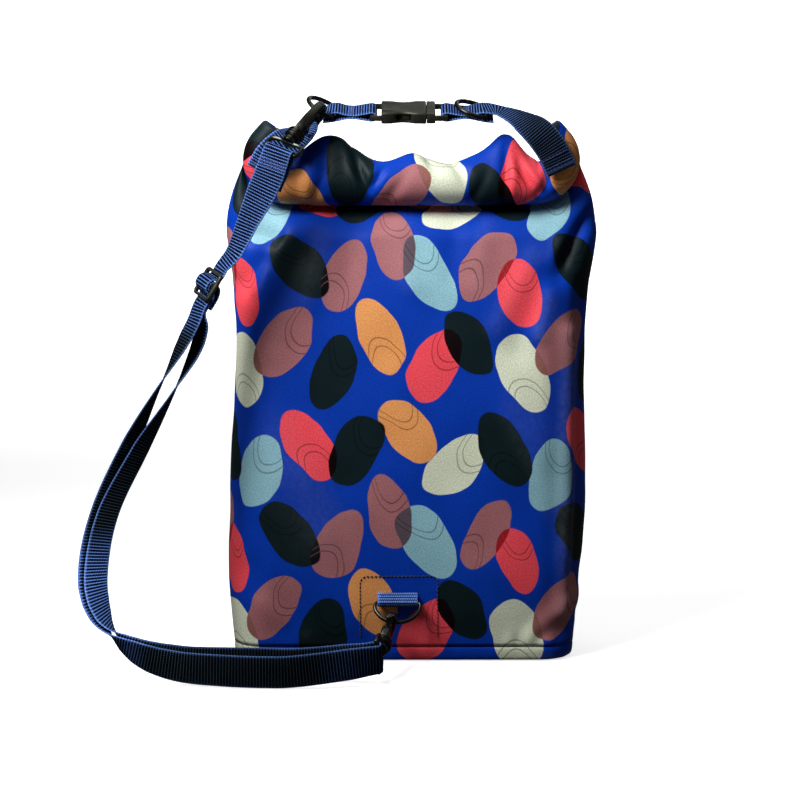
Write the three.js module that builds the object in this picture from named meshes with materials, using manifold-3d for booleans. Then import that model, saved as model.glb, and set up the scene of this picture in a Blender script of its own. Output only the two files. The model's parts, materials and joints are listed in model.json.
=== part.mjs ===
// Roll-top backpack: a hollow tube of coated cloth on a base panel, its collar rolled forward with
// both ends turned up and buckled, and one webbing shoulder strap on two swivel snap hooks.
// Millimetres, +Z up. The origin is on the floor under the base. The front faces -Y.

import * as THREE from 'three';
import { mergeVertices } from 'three/addons/utils/BufferGeometryUtils.js';
import Module from 'manifold-3d';

const wasm = await Module();
wasm.setup();

// Driving dimensions

const GAP = 0.3; // between neighbouring pieces
const CLOTH = 1.1; // wall of the bag
const COLLAR_GAP = 0.4; // between front and back wall where the collar lies flat

// Level sections of the bag: its middle's place across, half width, front and back face, corner radius,
// bow of both faces.
const BODY_SECTIONS = [
  { z: 12.3, middle: -6, halfWidth: 136.5, front: -46, back: 46, corner: 26, bow: 1 },
  { z: 40, middle: -5.4, halfWidth: 139.8, front: -48, back: 48, corner: 33, bow: 3 },
  { z: 80, middle: -4, halfWidth: 142.8, front: -49, back: 49, corner: 39, bow: 4.5 },
  { z: 125, middle: -2.8, halfWidth: 143.3, front: -49, back: 49, corner: 42, bow: 5 },
  { z: 170, middle: -2, halfWidth: 142.2, front: -48, back: 48, corner: 42, bow: 5 },
  { z: 215, middle: -1, halfWidth: 140.6, front: -45.5, back: 46, corner: 40, bow: 4.5 },
  { z: 260, middle: 0, halfWidth: 139.6, front: -41.5, back: 43, corner: 37, bow: 4 },
  { z: 300, middle: 0, halfWidth: 142.6, front: -36.5, back: 38.5, corner: 33, bow: 3 },
  { z: 335, middle: 0, halfWidth: 147.6, front: -29, back: 32, corner: 28, bow: 2 },
];

// The collar is rolled forward round this axis, whose ends turn up and inwards.
const ROLL = {
  y: -15, z: 378, turns: 1.8, pitch: 3.5, startAngle: 10, startLift: 2,
  straight: 98, bendRadius: 21, bendAngle: 126, tail: 14, lean: 5, clear: 2.5,
};
const ROLL_HALF = ROLL.straight + ROLL.bendRadius * THREE.MathUtils.degToRad(ROLL.bendAngle) + ROLL.tail;

// Radius of the roll along its length: in the plane of the bend, and front to back.
const ROLL_GIRTH = [
  { s: 0, rise: 19.5, depth: 19.5 },
  { s: 76, rise: 19.5, depth: 19.5 },
  { s: 98, rise: 18.2, depth: 19 },
  { s: 120, rise: 17, depth: 17.5 },
  { s: 142, rise: 14.5, depth: 15.5 },
  { s: 165, rise: 12, depth: 13 },
];
// Places along the roll where the cloth stands up or sinks in.
const ROLL_WAVES = [
  { s: -64, rise: 0.98, reach: 24 },
  { s: -26, rise: -0.14, reach: 15 },
  { s: 2, rise: 0.29, reach: 14 },
  { s: 26, rise: -0.15, reach: 15 },
  { s: 52, rise: 0.15, reach: 12 },
  { s: 74, rise: 1.05, reach: 15 },
];
// Creases of the front and back: the line each follows, its half width and its depth.
const BODY_FOLDS = [
  { face: 'front', x0: 134, z0: 346, x1: 114, z1: 308, reach: 9, depth: 6 },
  { face: 'front', x0: -132, z0: 342, x1: -108, z1: 338, reach: 9, depth: 6 },
  { face: 'front', x0: -132, z0: 300, x1: -116, z1: 318, reach: 10, depth: 4 },
  { face: 'front', x0: -30, z0: 230, x1: 40, z1: 120, reach: 46, depth: 3 },
  { face: 'back', x0: 132, z0: 345, x1: 108, z1: 300, reach: 10, depth: 6 },
  { face: 'back', x0: -132, z0: 345, x1: -108, z1: 300, reach: 10, depth: 6 },
];
const BODY_ROWS = [12.3, 26, 50, 85, 125, 170, 215, 255, 285, 312, 335];
const COLLAR_ROWS = [0.2, 0.38, 0.55, 0.7, 0.85];
const ROLL_STEP = 36; // degrees of roll between rows
const COLUMNS = [0, 0.13, 0.26, 0.39, 0.51, 0.62, 0.7, 0.78, 0.85, 0.925, 1];

// The base panel turns up round its edge and meets the bag's hem.
const BASE = { floor: 1.6, edge: [
  { z: 12, inset: 0 }, { z: 6, inset: 0.8 }, { z: 1.8, inset: 3.6 }, { z: 0, inset: 9 },
] };

const STRAP = { width: 25, thick: 1.6 };
const TAB = { width: 32, thick: 1.6, x: -11, bar: 51, top: 57.5, step: 3, slope: 2.4 };

// D-rings: radius of the rod, half width and straight side on the rod's centre line, corner radius.
const TOP_RING = { rod: 2, half: 15.6, side: 7, arc: 15, corner: 3.5 };
const BASE_RING = { rod: 1.8, half: 18.2, side: 3, arc: 16, corner: 3.5 };

// The handle formed by the closure: tilted towards the front.
const HANDLE = { y: -18, z: 434, tilt: 18, leftRing: -61, rightRing: 56, leftLift: 28, rightLift: 18 };
const BUCKLE = {
  mouth: 11.5, half: 15.5, waist: 12.8, thick: 9, length: 35, bar: 1.8, socketBar: -42.2, plugBar: 15.2,
  cavityHalf: 12.4, cavityThick: 5.8, cavityDeep: 30,
};

// The closure webbing on the front of the roll's turned-up end: position and direction across.
// On the left it lies lower and further back, under the clipped ring.
const CLOSURE_RIGHT = [
  { x: 117, y: -36.5, z: 389, wx: 0.8, wy: 0, wz: 0.6 },
  { x: 109, y: -36.5, z: 405, wx: 0.8, wy: 0, wz: 0.6 },
  { x: 98, y: -35, z: 419, wx: 0.66, wy: 0.3, wz: 0.7 },
  { x: 84, y: -24.5, z: 429.5, wx: 0.3, wy: 0.85, wz: 0.45 },
  { x: 69, y: -17.4, z: 435.2, wx: 0, wy: 0.95, wz: 0.31 },
];
const CLOSURE_LEFT = [
  { x: -117, y: -36.5, z: 388, wx: -0.8, wy: 0, wz: 0.6 },
  { x: -109, y: -36.5, z: 401, wx: -0.8, wy: 0, wz: 0.6 },
  { x: -98, y: -36.8, z: 410.3, wx: -0.76, wy: 0, wz: 0.65 },
  { x: -90, y: -28.5, z: 415.5, wx: -0.45, wy: 0.66, wz: 0.6 },
  { x: -80, y: -19, z: 423, wx: -0.15, wy: 0.93, wz: 0.35 },
  { x: -71, y: -17, z: 431, wx: 0, wy: 0.95, wz: 0.31 },
];

// Swivel snap hook: thickness of the body, jaw, boss and eye, measured up from the boss.
const HOOK = {
  thick: 7, rodX: 0.9, rodZ: 29, boss: 6, bossLow: -7.5, bore: 2.2, post: 1.8, head: 2.8,
  pivotX: 6.6, pivotZ: 7.6, pin: 1, slot: 4.4, eyeHalf: 15, eyeTop: -12, eyeBar: -23.5, rod: 2,
};

// Three-bar slider.
const SLIDER = { along: 23.6, across: 33, thick: 3.2, slotHalf: 13.2, barHalf: 2, slotEnd: 9.3, corner: 4 };

// Route of the shoulder strap from the top hook down to the lower hook, a row for each place:
// position, direction across the webbing, and how far behind it the returning layer lies.
const STRAP_ROUTE = [
  { x: -91, y: -63, z: 394, wx: 0.8, wy: 0.05, wz: -0.6, behind: 0 },
  { x: -111, y: -67, z: 381, wx: 0.87, wy: -0.31, wz: -0.38, behind: 0 },
  { x: -125, y: -70, z: 353, wx: 0.63, wy: -0.71, wz: -0.3, behind: 0 },
  { x: -137, y: -73, z: 330, wx: 0.44, wy: -0.85, wz: -0.27, behind: 0 },
  { x: -156, y: -75, z: 304, wx: 0.35, wy: -0.91, wz: -0.23, behind: 0 },
  { x: -174, y: -79, z: 266, wx: 0.4, wy: -0.9, wz: -0.15, behind: 13 },
  { x: -194, y: -84, z: 226, wx: -0.05, wy: -1, wz: 0, behind: 12 },
  { x: -216, y: -90, z: 182, wx: -0.48, wy: -0.87, wz: 0.05, behind: 10 },
  { x: -237, y: -95, z: 134, wx: -0.58, wy: -0.8, wz: 0.08, behind: 7 },
  { x: -246, y: -99, z: 97, wx: -0.62, wy: -0.78, wz: 0.1, behind: 7 },
  { x: -246, y: -103, z: 66, wx: -0.6, wy: -0.75, wz: 0.25, behind: 6.5 },
  { x: -234, y: -108, z: 40, wx: -0.45, wy: -0.65, wz: 0.6, behind: 4.5 },
  { x: -210, y: -115, z: 24, wx: -0.2, wy: -0.35, wz: 0.9, behind: 5 },
  { x: -180, y: -121, z: 16, wx: -0.05, wy: -0.1, wz: 1, behind: 12 },
  { x: -140, y: -127, z: 13.6, wx: 0, wy: 0, wz: 1, behind: 25 },
  { x: -95, y: -130, z: 13.4, wx: 0, wy: 0, wz: 1, behind: 24 },
  { x: -55, y: -125, z: 17.5, wx: 0, wy: 0, wz: 1, behind: 14 },
  { x: -27, y: -118, z: 19, wx: 0, wy: 0.1, wz: 1, behind: 0 },
];
const SLIDER_ROW = 4;
// The webbing's path through the slider, and the sewn end round its middle bar.
const SLIDER_WEAVE = [
  { along: -17, out: -2.9 }, { along: -9.4, out: -2.9 }, { along: -7.4, out: -1.8 }, { along: -5.8, out: 1 },
  { along: -4.6, out: 3.6 }, { along: -2.4, out: 4.9 }, { along: 2.4, out: 4.9 }, { along: 4.6, out: 3.6 },
  { along: 5.8, out: 1 }, { along: 7.4, out: -1.8 }, { along: 9.4, out: -2.9 }, { along: 17, out: -2.9 },
];
const SLIDER_END = [
  { along: 20, out: -5.4 }, { along: 9, out: -5.4 }, { along: 5, out: -4.4 }, { along: 3.4, out: -1.8 },
  { along: 3.3, out: 1.4 }, { along: 2.4, out: 2.8 }, { along: -2.4, out: 2.8 }, { along: -3.3, out: 1.4 },
  { along: -3.4, out: -1.8 }, { along: -1, out: -5.6 }, { along: 4, out: -7.6 }, { along: 16, out: -7.9 },
];

// Small helpers

const X = new THREE.Vector3(1, 0, 0);
const Y = new THREE.Vector3(0, 1, 0);
const vec = (x, y, z) => new THREE.Vector3(x, y, z);
const radians = THREE.MathUtils.degToRad;
const lerp = THREE.MathUtils.lerp;

// A vector sum: pairs of a vector and its multiplier.
function combine(...terms) {
  const sum = vec(0, 0, 0);
  for (const [v, k] of terms) sum.addScaledVector(v, k);
  return sum;
}

// The part of v square to a unit vector, made unit length.
function squareTo(v, unit) {
  return combine([v, 1], [unit, -v.dot(unit)]).normalize();
}

// One column of a table at a place along another column, smooth between rows.
function fromTable(rows, key, at, column) {
  let i = 0;
  while (i < rows.length - 2 && rows[i + 1][key] < at) i++;
  const before = rows[Math.max(i - 1, 0)][column];
  const after = rows[Math.min(i + 2, rows.length - 1)][column];
  const a = rows[i][column];
  const b = rows[i + 1][column];
  const t = THREE.MathUtils.clamp((at - rows[i][key]) / (rows[i + 1][key] - rows[i][key]), 0, 1);
  const slopeA = i === 0 ? b - a : (b - before) / 2;
  const slopeB = i >= rows.length - 2 ? b - a : (after - a) / 2;
  const t2 = t * t;
  const t3 = t2 * t;
  return a * (2 * t3 - 3 * t2 + 1) + slopeA * (t3 - 2 * t2 + t) + b * (3 * t2 - 2 * t3) + slopeB * (t3 - t2);
}

// A closed surface through loops of points. The ends are capped, or joined to each other. The two
// faces of a thin wall split their quads along the same diagonal, so one of them is turned.
function loft(loops, { ring = false, turned = () => false } = {}) {
  const count = loops[0].length;
  const points = loops.flat();
  const faces = [];
  const last = ring ? loops.length : loops.length - 1;
  for (let i = 0; i < last; i++) {
    const low = i * count;
    const high = ((i + 1) % loops.length) * count;
    for (let j = 0; j < count; j++) {
      const k = (j + 1) % count;
      if (turned(i, j)) faces.push(low + j, low + k, high + j, low + k, high + k, high + j);
      else faces.push(low + j, low + k, high + k, low + j, high + k, high + j);
    }
  }
  if (!ring) {
    const middle = (loop) => combine(...loop.map((p) => [p, 1 / count]));
    const first = points.push(middle(loops[0])) - 1;
    const final = points.push(middle(loops[loops.length - 1])) - 1;
    const top = (loops.length - 1) * count;
    for (let j = 0; j < count; j++) {
      const k = (j + 1) % count;
      faces.push(first, k, j, final, top + j, top + k);
    }
  }
  const geometry = new THREE.BufferGeometry().setFromPoints(points);
  geometry.setIndex(faces);
  return geometry;
}

// Joining and cutting closed geometries.
function toSolid(geometry) {
  const bare = new THREE.BufferGeometry();
  bare.setAttribute('position', geometry.getAttribute('position'));
  bare.setIndex(geometry.index);
  const merged = mergeVertices(bare, 1e-4);
  return new wasm.Manifold(new wasm.Mesh({
    numProp: 3,
    vertProperties: new Float32Array(merged.getAttribute('position').array),
    triVerts: new Uint32Array(merged.index.array),
  }));
}

function fromSolid(solid) {
  const mesh = solid.getMesh();
  const geometry = new THREE.BufferGeometry();
  geometry.setAttribute('position', new THREE.BufferAttribute(new Float32Array(mesh.vertProperties), 3));
  geometry.setIndex(new THREE.BufferAttribute(new Uint32Array(mesh.triVerts), 1));
  return geometry;
}

function joined(pieces, cuts = []) {
  let solid = toSolid(pieces[0]);
  for (const piece of pieces.slice(1)) solid = solid.add(toSolid(piece));
  for (const cut of cuts) solid = solid.subtract(toSolid(cut));
  return fromSolid(solid);
}

// A box between two corners.
function box(x0, y0, z0, x1, y1, z1) {
  const geometry = new THREE.BoxGeometry(x1 - x0, y1 - y0, z1 - z0);
  return geometry.translate((x0 + x1) / 2, (y0 + y1) / 2, (z0 + z1) / 2);
}

// A round bar along Z between two heights.
function bar(radius, low, high, sides = 16) {
  const geometry = new THREE.CylinderGeometry(radius, radius, high - low, sides);
  return geometry.rotateX(Math.PI / 2).translate(0, 0, (low + high) / 2);
}

// A flat shape made thick about its own plane, its edges eased by a small bevel.
function plate(shape, thick, ease = 0, curveSegments = 6) {
  const geometry = new THREE.ExtrudeGeometry(shape, {
    depth: thick - 2 * ease, curveSegments, bevelEnabled: ease > 0,
    bevelThickness: ease, bevelSize: ease, bevelOffset: -ease, bevelSegments: 1,
  });
  return geometry.translate(0, 0, -thick / 2 + ease);
}

// A closed rod round a flat path.
function rodRound(path, radius, points, sides = 8) {
  const flat = path.getSpacedPoints(points).slice(0, points);
  const curve = new THREE.CatmullRomCurve3(flat.map((p) => vec(p.x, p.y, 0)), true, 'centripetal');
  return new THREE.TubeGeometry(curve, points, radius, sides, true);
}

// A flat webbing strip through a list of places, each with its direction across.
function webbing(places, width, thick) {
  const loops = places.map(({ p, w }, i) => {
    const next = places[Math.min(i + 1, places.length - 1)].p;
    const before = places[Math.max(i - 1, 0)].p;
    const ahead = combine([next, 1], [before, -1]).normalize();
    const across = squareTo(w, ahead).multiplyScalar(width / 2);
    const out = ahead.clone().cross(across).normalize().multiplyScalar(thick / 2);
    return [
      combine([p, 1], [across, -1], [out, -1]), combine([p, 1], [across, 1], [out, -1]),
      combine([p, 1], [across, 1], [out, 1]), combine([p, 1], [across, -1], [out, 1]),
    ];
  });
  return loft(loops, { turned: (i, j) => j >= 2 });
}

// A smooth route through rows of x, y, z and the direction across, sampled evenly.
function smoothPlaces(rows, count) {
  const curve = new THREE.CatmullRomCurve3(rows.map((r) => r.p), false, 'centripetal');
  const across = new THREE.CatmullRomCurve3(rows.map((r) => r.w), false, 'centripetal');
  const places = [];
  for (let i = 0; i <= count; i++) {
    const t = i / count;
    places.push({ p: curve.getPoint(t), w: across.getPoint(t).normalize() });
  }
  return places;
}

// Half turn of webbing round a bar, from one side of it to the other.
function roundBar(centre, across, from, ahead, radius, steps = 8) {
  const places = [];
  for (let i = 0; i <= steps; i++) {
    const turn = (Math.PI * i) / steps;
    const p = combine([centre, 1], [from, radius * Math.cos(turn)], [ahead, radius * Math.sin(turn)]);
    places.push({ p, w: across });
  }
  return places;
}

// The bag

// A level section's outline: place -1 is the left side's middle, 0 the face's middle, 1 the right side's.
function bodyPoint(z, place, face) {
  const row = (column) => fromTable(BODY_SECTIONS, 'z', z, column);
  const half = row('halfWidth');
  const front = row('front');
  const back = row('back');
  const corner = row('corner');
  const bow = row('bow');
  const flat = half - corner;
  const arc = (corner * Math.PI) / 2;
  const side = (back - front) / 2 - corner;
  const run = Math.abs(place) * (flat + arc + side);
  let x = Math.min(run, flat);
  let depth = (back - front) / 2;
  if (run > flat) {
    const turn = Math.min((run - flat) / corner, Math.PI / 2);
    x = flat + corner * Math.sin(turn);
    depth -= corner * (1 - Math.cos(turn));
    depth -= Math.max(run - flat - arc, 0);
  }
  const outwards = face === 'front' ? -1 : 1;
  const swell = bow * (1 - (x / half) ** 2);
  const y = (front + back) / 2 + outwards * (depth + swell);
  return vec(row('middle') + Math.sign(place) * x, y, z);
}

// The roll's axis at a distance along it from the middle, with the direction towards the bend's inside.
function rollAxis(s) {
  const side = Math.sign(s) || 1;
  const run = Math.abs(s);
  const bend = radians(ROLL.bendAngle);
  const turn = THREE.MathUtils.clamp((run - ROLL.straight) / ROLL.bendRadius, 0, bend);
  const tail = Math.max(run - ROLL.straight - ROLL.bendRadius * bend, 0);
  const x = Math.min(run, ROLL.straight) + ROLL.bendRadius * Math.sin(turn) + tail * Math.cos(bend);
  const z = ROLL.z + ROLL.bendRadius * (1 - Math.cos(turn)) + tail * Math.sin(bend);
  const leaning = THREE.MathUtils.smoothstep(run, ROLL.straight, ROLL_HALF);
  return {
    centre: vec(side * x, ROLL.y - ROLL.lean * leaning, z),
    along: vec(side * Math.cos(turn), 0, Math.sin(turn)).multiplyScalar(side),
    up: vec(-side * Math.sin(turn), 0, Math.cos(turn)),
    rise: fromTable(ROLL_GIRTH, 's', run, 'rise'),
    depth: fromTable(ROLL_GIRTH, 's', run, 'depth'),
  };
}

// How much the roll swells at a place along it, most on its upper side.
function rollWave(s, angle) {
  let wave = 0;
  for (const row of ROLL_WAVES) wave += row.rise * Math.exp(-(((s - row.s) / row.reach) ** 2));
  return 1 + wave * Math.max(Math.sin(angle), 0) ** 2;
}

// How far inside the collar's outer skin each wall's outer face lies, and the fold between them.
const WALL_DEPTH = { back: 0, edge: CLOTH + COLLAR_GAP / 2, front: 2 * CLOTH + COLLAR_GAP };

// A point of the rolled collar. The back wall is outermost and the front wall lies inside it.
function rollPoint(s, angle, face) {
  const axis = rollAxis(s);
  const turned = angle - radians(ROLL.startAngle);
  const lift = ROLL.startLift * Math.exp(-turned / 0.7);
  const wound = (ROLL.pitch * turned) / (2 * Math.PI) + WALL_DEPTH[face] - lift;
  const swell = rollWave(s, angle);
  const across = (axis.depth - wound) * Math.cos(angle);
  const rise = (axis.rise * swell - wound) * Math.sin(angle);
  return combine([axis.centre, 1], [Y, across], [axis.up, rise]);
}

const ROLL_SAMPLES = Array.from({ length: 81 }, (_, i) => rollAxis(ROLL_HALF * (i / 40 - 1)));

// A point of the collar is kept outside the roll that lies in front of it.
function clearOfRoll(point, t, face) {
  let near = ROLL_SAMPLES[0];
  for (const axis of ROLL_SAMPLES) {
    if (axis.centre.distanceTo(point) < near.centre.distanceTo(point)) near = axis;
  }
  const from = combine([point, 1], [near.centre, -1]);
  const deep = from.dot(Y) / near.depth;
  const high = from.dot(near.up) / near.rise;
  const reach = Math.hypot(deep, high);
  const away = ROLL.clear + WALL_DEPTH.front;
  const room = lerp(away, ROLL.startLift, THREE.MathUtils.smoothstep(t, 0.75, 1)) - WALL_DEPTH[face];
  const least = 1 + room / near.depth;
  if (reach >= least) return point;
  const along = from.dot(near.along);
  const grow = least / reach;
  return combine(
    [near.centre, 1], [near.along, along], [Y, deep * near.depth * grow], [near.up, high * near.rise * grow],
  );
}

// Between the body and the roll the two walls draw together.
function collarPoint(t, place, face) {
  const top = BODY_ROWS[BODY_ROWS.length - 1];
  const low = bodyPoint(top, place, face);
  const below = bodyPoint(top - 6, place, face);
  const start = radians(ROLL.startAngle);
  const axis = rollAxis(place * ROLL_HALF);
  const high = rollPoint(place * ROLL_HALF, start, face);
  const length = low.distanceTo(high);
  const leave = combine([low, 1], [below, -1]).normalize();
  leave.multiplyScalar(length * 0.9);
  const arrive = combine([Y, -Math.sin(start)], [axis.up, Math.cos(start)]);
  arrive.multiplyScalar(length * lerp(0.8, 0.55, Math.abs(place) ** 4));
  const t2 = t * t;
  const t3 = t2 * t;
  const point = combine(
    [low, 2 * t3 - 3 * t2 + 1], [leave, t3 - 2 * t2 + t], [high, 3 * t2 - 2 * t3], [arrive, t3 - t2],
  );
  return clearOfRoll(point, t, face);
}

// The loops of the bag's outer skin from hem to mouth: along the front, then back along the back.
function bagLoops() {
  const right = COLUMNS.slice(1);
  const left = right.map((c) => -c).reverse();
  const across = [...left, 0, ...right];
  const columns = across.map((place) => ({ place, face: 'front' }));
  for (const place of across.slice(1, -1).reverse()) columns.push({ place, face: 'back' });
  for (const column of columns) if (Math.abs(column.place) === 1) column.face = 'edge';
  const loops = BODY_ROWS.map((z) => columns.map((c) => bodyPoint(z, c.place, c.face)));
  for (const t of COLLAR_ROWS) loops.push(columns.map((c) => collarPoint(t, c.place, c.face)));
  const steps = Math.round((ROLL.turns * 360) / ROLL_STEP);
  for (let i = 0; i <= steps; i++) {
    const angle = radians(ROLL.startAngle + i * ROLL_STEP);
    loops.push(columns.map((c) => rollPoint(c.place * ROLL_HALF, angle, c.face)));
  }
  return { loops, columns };
}

// The outward direction at each point of a grid of loops.
function outwardDirections(loops) {
  return loops.map((loop, i) => loop.map((_, j) => {
    const next = loop[(j + 1) % loop.length];
    const before = loop[(j + loop.length - 1) % loop.length];
    const above = loops[Math.min(i + 1, loops.length - 1)][j];
    const below = loops[Math.max(i - 1, 0)][j];
    const across = combine([next, 1], [before, -1]);
    return across.cross(combine([above, 1], [below, -1])).normalize();
  }));
}

// How far the creases draw a point of one face inwards.
function foldDepth(point, face) {
  let depth = 0;
  for (const fold of BODY_FOLDS) {
    if (fold.face !== face) continue;
    const run = new THREE.Vector2(fold.x1 - fold.x0, fold.z1 - fold.z0);
    const from = new THREE.Vector2(point.x - fold.x0, point.z - fold.z0);
    const t = THREE.MathUtils.clamp(from.dot(run) / run.lengthSq(), 0, 1);
    const off = from.addScaledVector(run, -t).length();
    depth += fold.depth * Math.exp(-((off / fold.reach) ** 2));
  }
  return depth;
}

function bagBody() {
  const { loops, columns } = bagLoops();
  const softRows = BODY_ROWS.length + COLLAR_ROWS.length - 2;
  const first = outwardDirections(loops);
  for (let i = 1; i < softRows; i++) {
    loops[i] = loops[i].map((p, j) => combine([p, 1], [first[i][j], -foldDepth(p, columns[j].face)]));
  }
  const outward = outwardDirections(loops);
  const inner = loops.map((loop, i) => loop.map((p, j) => combine([p, 1], [outward[i][j], -CLOTH])));
  const turned = (i, j) => (i >= loops.length) !== (j >= columns.length / 2);
  return loft([...loops, ...inner.reverse()], { ring: true, turned });
}

// An outline of the hem drawn in towards the middle.
function hemLoop(z, inset) {
  const right = COLUMNS.slice(1);
  const across = [...right.map((c) => -c).reverse(), 0, ...right];
  const loop = across.map((place) => bodyPoint(BODY_ROWS[0], place, 'front'));
  for (const place of across.slice(1, -1).reverse()) loop.push(bodyPoint(BODY_ROWS[0], place, 'back'));
  const { middle, halfWidth, back } = BODY_SECTIONS[0];
  const narrower = (halfWidth - inset) / halfWidth;
  const shallower = (back - inset) / back;
  return loop.map((p) => vec(middle + (p.x - middle) * narrower, p.y * shallower, z));
}

function basePanel() {
  const outside = [...BASE.edge].reverse().map((row) => hemLoop(row.z, row.inset));
  const inside = BASE.edge.map((row, i) => {
    const z = i === 0 ? row.z : Math.max(row.z, BASE.floor + 0.01 * (BASE.edge.length - i));
    return hemLoop(z, row.inset + CLOTH * 1.2);
  });
  return loft([...outside, ...inside]);
}

// Hardware

// A D-ring: its bar along Y through the origin, its bow towards +X.
function dRing(ring) {
  const path = new THREE.Path();
  const r = ring.corner;
  path.moveTo(0, -ring.half + r);
  path.absarc(r, ring.half - r, r, Math.PI, Math.PI / 2, true);
  path.absellipse(ring.side, 0, ring.arc, ring.half, Math.PI / 2, -Math.PI / 2, true);
  path.absarc(r, -ring.half + r, r, -Math.PI / 2, -Math.PI, true);
  return rodRound(path, ring.rod, 26, 6);
}

// A place on a D-ring's bow, an angle from its middle, and the rod's direction there.
function onBow(ring, frame, angle) {
  const turn = radians(angle);
  const p = combine(
    [frame.origin, 1], [frame.x, ring.side + ring.arc * Math.cos(turn)], [frame.y, ring.half * Math.sin(turn)],
  );
  const along = combine([frame.x, -ring.arc * Math.sin(turn)], [frame.y, ring.half * Math.cos(turn)]);
  return { p, along: along.normalize() };
}

// A frame from its origin and two directions. The third follows.
function frameOf(origin, xHint, yAxis) {
  const y = yAxis.clone().normalize();
  const x = squareTo(xHint, y);
  return { origin, x, y, z: x.clone().cross(y) };
}

function place(object, frame) {
  const turn = new THREE.Matrix4().makeBasis(frame.x, frame.y, frame.z);
  object.quaternion.setFromRotationMatrix(turn);
  object.position.copy(frame.origin);
  return object;
}

// Buckle halves lie along X with the mouth of the socket at x = 0.
function buckleSocket() {
  const b = BUCKLE;
  const outline = new THREE.Shape();
  outline.moveTo(0, -b.half);
  outline.lineTo(0, b.half);
  outline.lineTo(-6, b.half);
  outline.bezierCurveTo(-12, b.half, -12, b.waist, -18, b.waist);
  outline.bezierCurveTo(-24, b.waist, -24, b.half, -30, b.half);
  outline.lineTo(-b.length, b.half);
  outline.lineTo(-b.length, -b.half);
  outline.lineTo(-30, -b.half);
  outline.bezierCurveTo(-24, -b.half, -24, -b.waist, -18, -b.waist);
  outline.bezierCurveTo(-12, -b.waist, -12, -b.half, -6, -b.half);
  const arms = [-1, 1].map((side) => {
    const y = side * (b.half - 1.2);
    return box(b.socketBar - 1.2, y - 1.2, -2, -b.length + 4, y + 1.2, 2);
  });
  const crossBar = bar(b.bar, -b.half, b.half, 10).rotateX(Math.PI / 2).translate(b.socketBar, 0, 0);
  const half = b.cavityThick / 2;
  const cavity = box(-b.cavityDeep, -b.cavityHalf, -half, 1, b.cavityHalf, half);
  const window = box(-24, -20, -half + 0.4, -12, 20, half - 0.4);
  return joined([plate(outline, b.thick, 1, 4), ...arms, crossBar], [cavity, window]);
}

function bucklePlug() {
  const b = BUCKLE;
  const base = box(GAP, -b.half, -4, 7, b.half, 4);
  const arms = [-1, 1].map((side) => {
    const y = side * (b.half - 1.2);
    return box(5, y - 1.2, -2, b.plugBar + 1.2, y + 1.2, 2);
  });
  const crossBar = bar(b.bar, -b.half, b.half, 10).rotateX(Math.PI / 2).translate(b.plugBar, 0, 0);
  const tongue = box(-22, -2.2, -2.2, 2, 2.2, 2.2);
  const arm = new THREE.Shape();
  arm.moveTo(1, 7.2);
  arm.lineTo(1, 10.4);
  arm.lineTo(-12.6, 10.8);
  arm.lineTo(-13, 12);
  arm.lineTo(-18, 12);
  arm.lineTo(-24, 8.6);
  arm.lineTo(-24, 6.6);
  arm.lineTo(-12, 7.8);
  const upper = plate(arm, 4.4);
  const lower = plate(arm, 4.4).rotateX(Math.PI);
  return joined([base, ...arms, crossBar, tongue, upper, lower]);
}

// The hook's own frame: Z up from the boss to the nose, X towards the gate, Y through the jaw.
const upright = (geometry) => geometry.rotateX(Math.PI / 2);

function hookBody() {
  const h = HOOK;
  const s = new THREE.Shape();
  s.moveTo(5.5, -0.5);
  s.lineTo(9, 3.5);
  s.lineTo(9.4, 9.5);
  s.lineTo(8, 11);
  s.lineTo(5.4, 11);
  s.lineTo(4.4, 8);
  s.lineTo(-2.8, 8);
  s.lineTo(-3.8, 9.4);
  s.absarc(h.rodX, 26.7, 4.7, Math.PI, 0, true);
  s.lineTo(6, 24.6);
  s.lineTo(9.2, 24.6);
  s.absarc(h.rodX, 26.7, 9.1, 0, Math.PI, false);
  s.lineTo(-8.4, 13);
  s.lineTo(-7.2, 4);
  s.lineTo(-5.5, -0.5);
  const body = upright(plate(s, h.thick, 1.1, 5));
  const boss = bar(h.boss, h.bossLow, 1, 14);
  const bore = bar(h.bore, h.bossLow - 1, 8.6, 12);
  const slot = box(2.6, -h.slot / 2, 4.9, 12, h.slot / 2, 14);
  const pinHole = upright(bar(h.pin + 0.25, -6, 6, 12)).translate(h.pivotX, 0, h.pivotZ);
  return joined([body, boss], [bore, slot, pinHole]);
}

function hookGate() {
  const h = HOOK;
  const s = new THREE.Shape();
  s.moveTo(5.2, 6.2);
  s.lineTo(8, 6.2);
  s.lineTo(8.6, 8.4);
  s.lineTo(7.4, 12.2);
  s.lineTo(12.4, 14.6);
  s.lineTo(14.6, 13.4);
  s.lineTo(15.2, 14.8);
  s.lineTo(12.8, 17);
  s.lineTo(6.7, 16);
  s.lineTo(5.6, 25.8);
  s.lineTo(3.2, 25.8);
  s.lineTo(4.7, 9);
  const gate = upright(plate(s, h.slot - 0.6));
  const pin = upright(bar(h.pin, -h.thick / 2 + 0.2, h.thick / 2 - 0.2, 12)).translate(h.pivotX, 0, h.pivotZ);
  return joined([gate, pin]);
}

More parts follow.
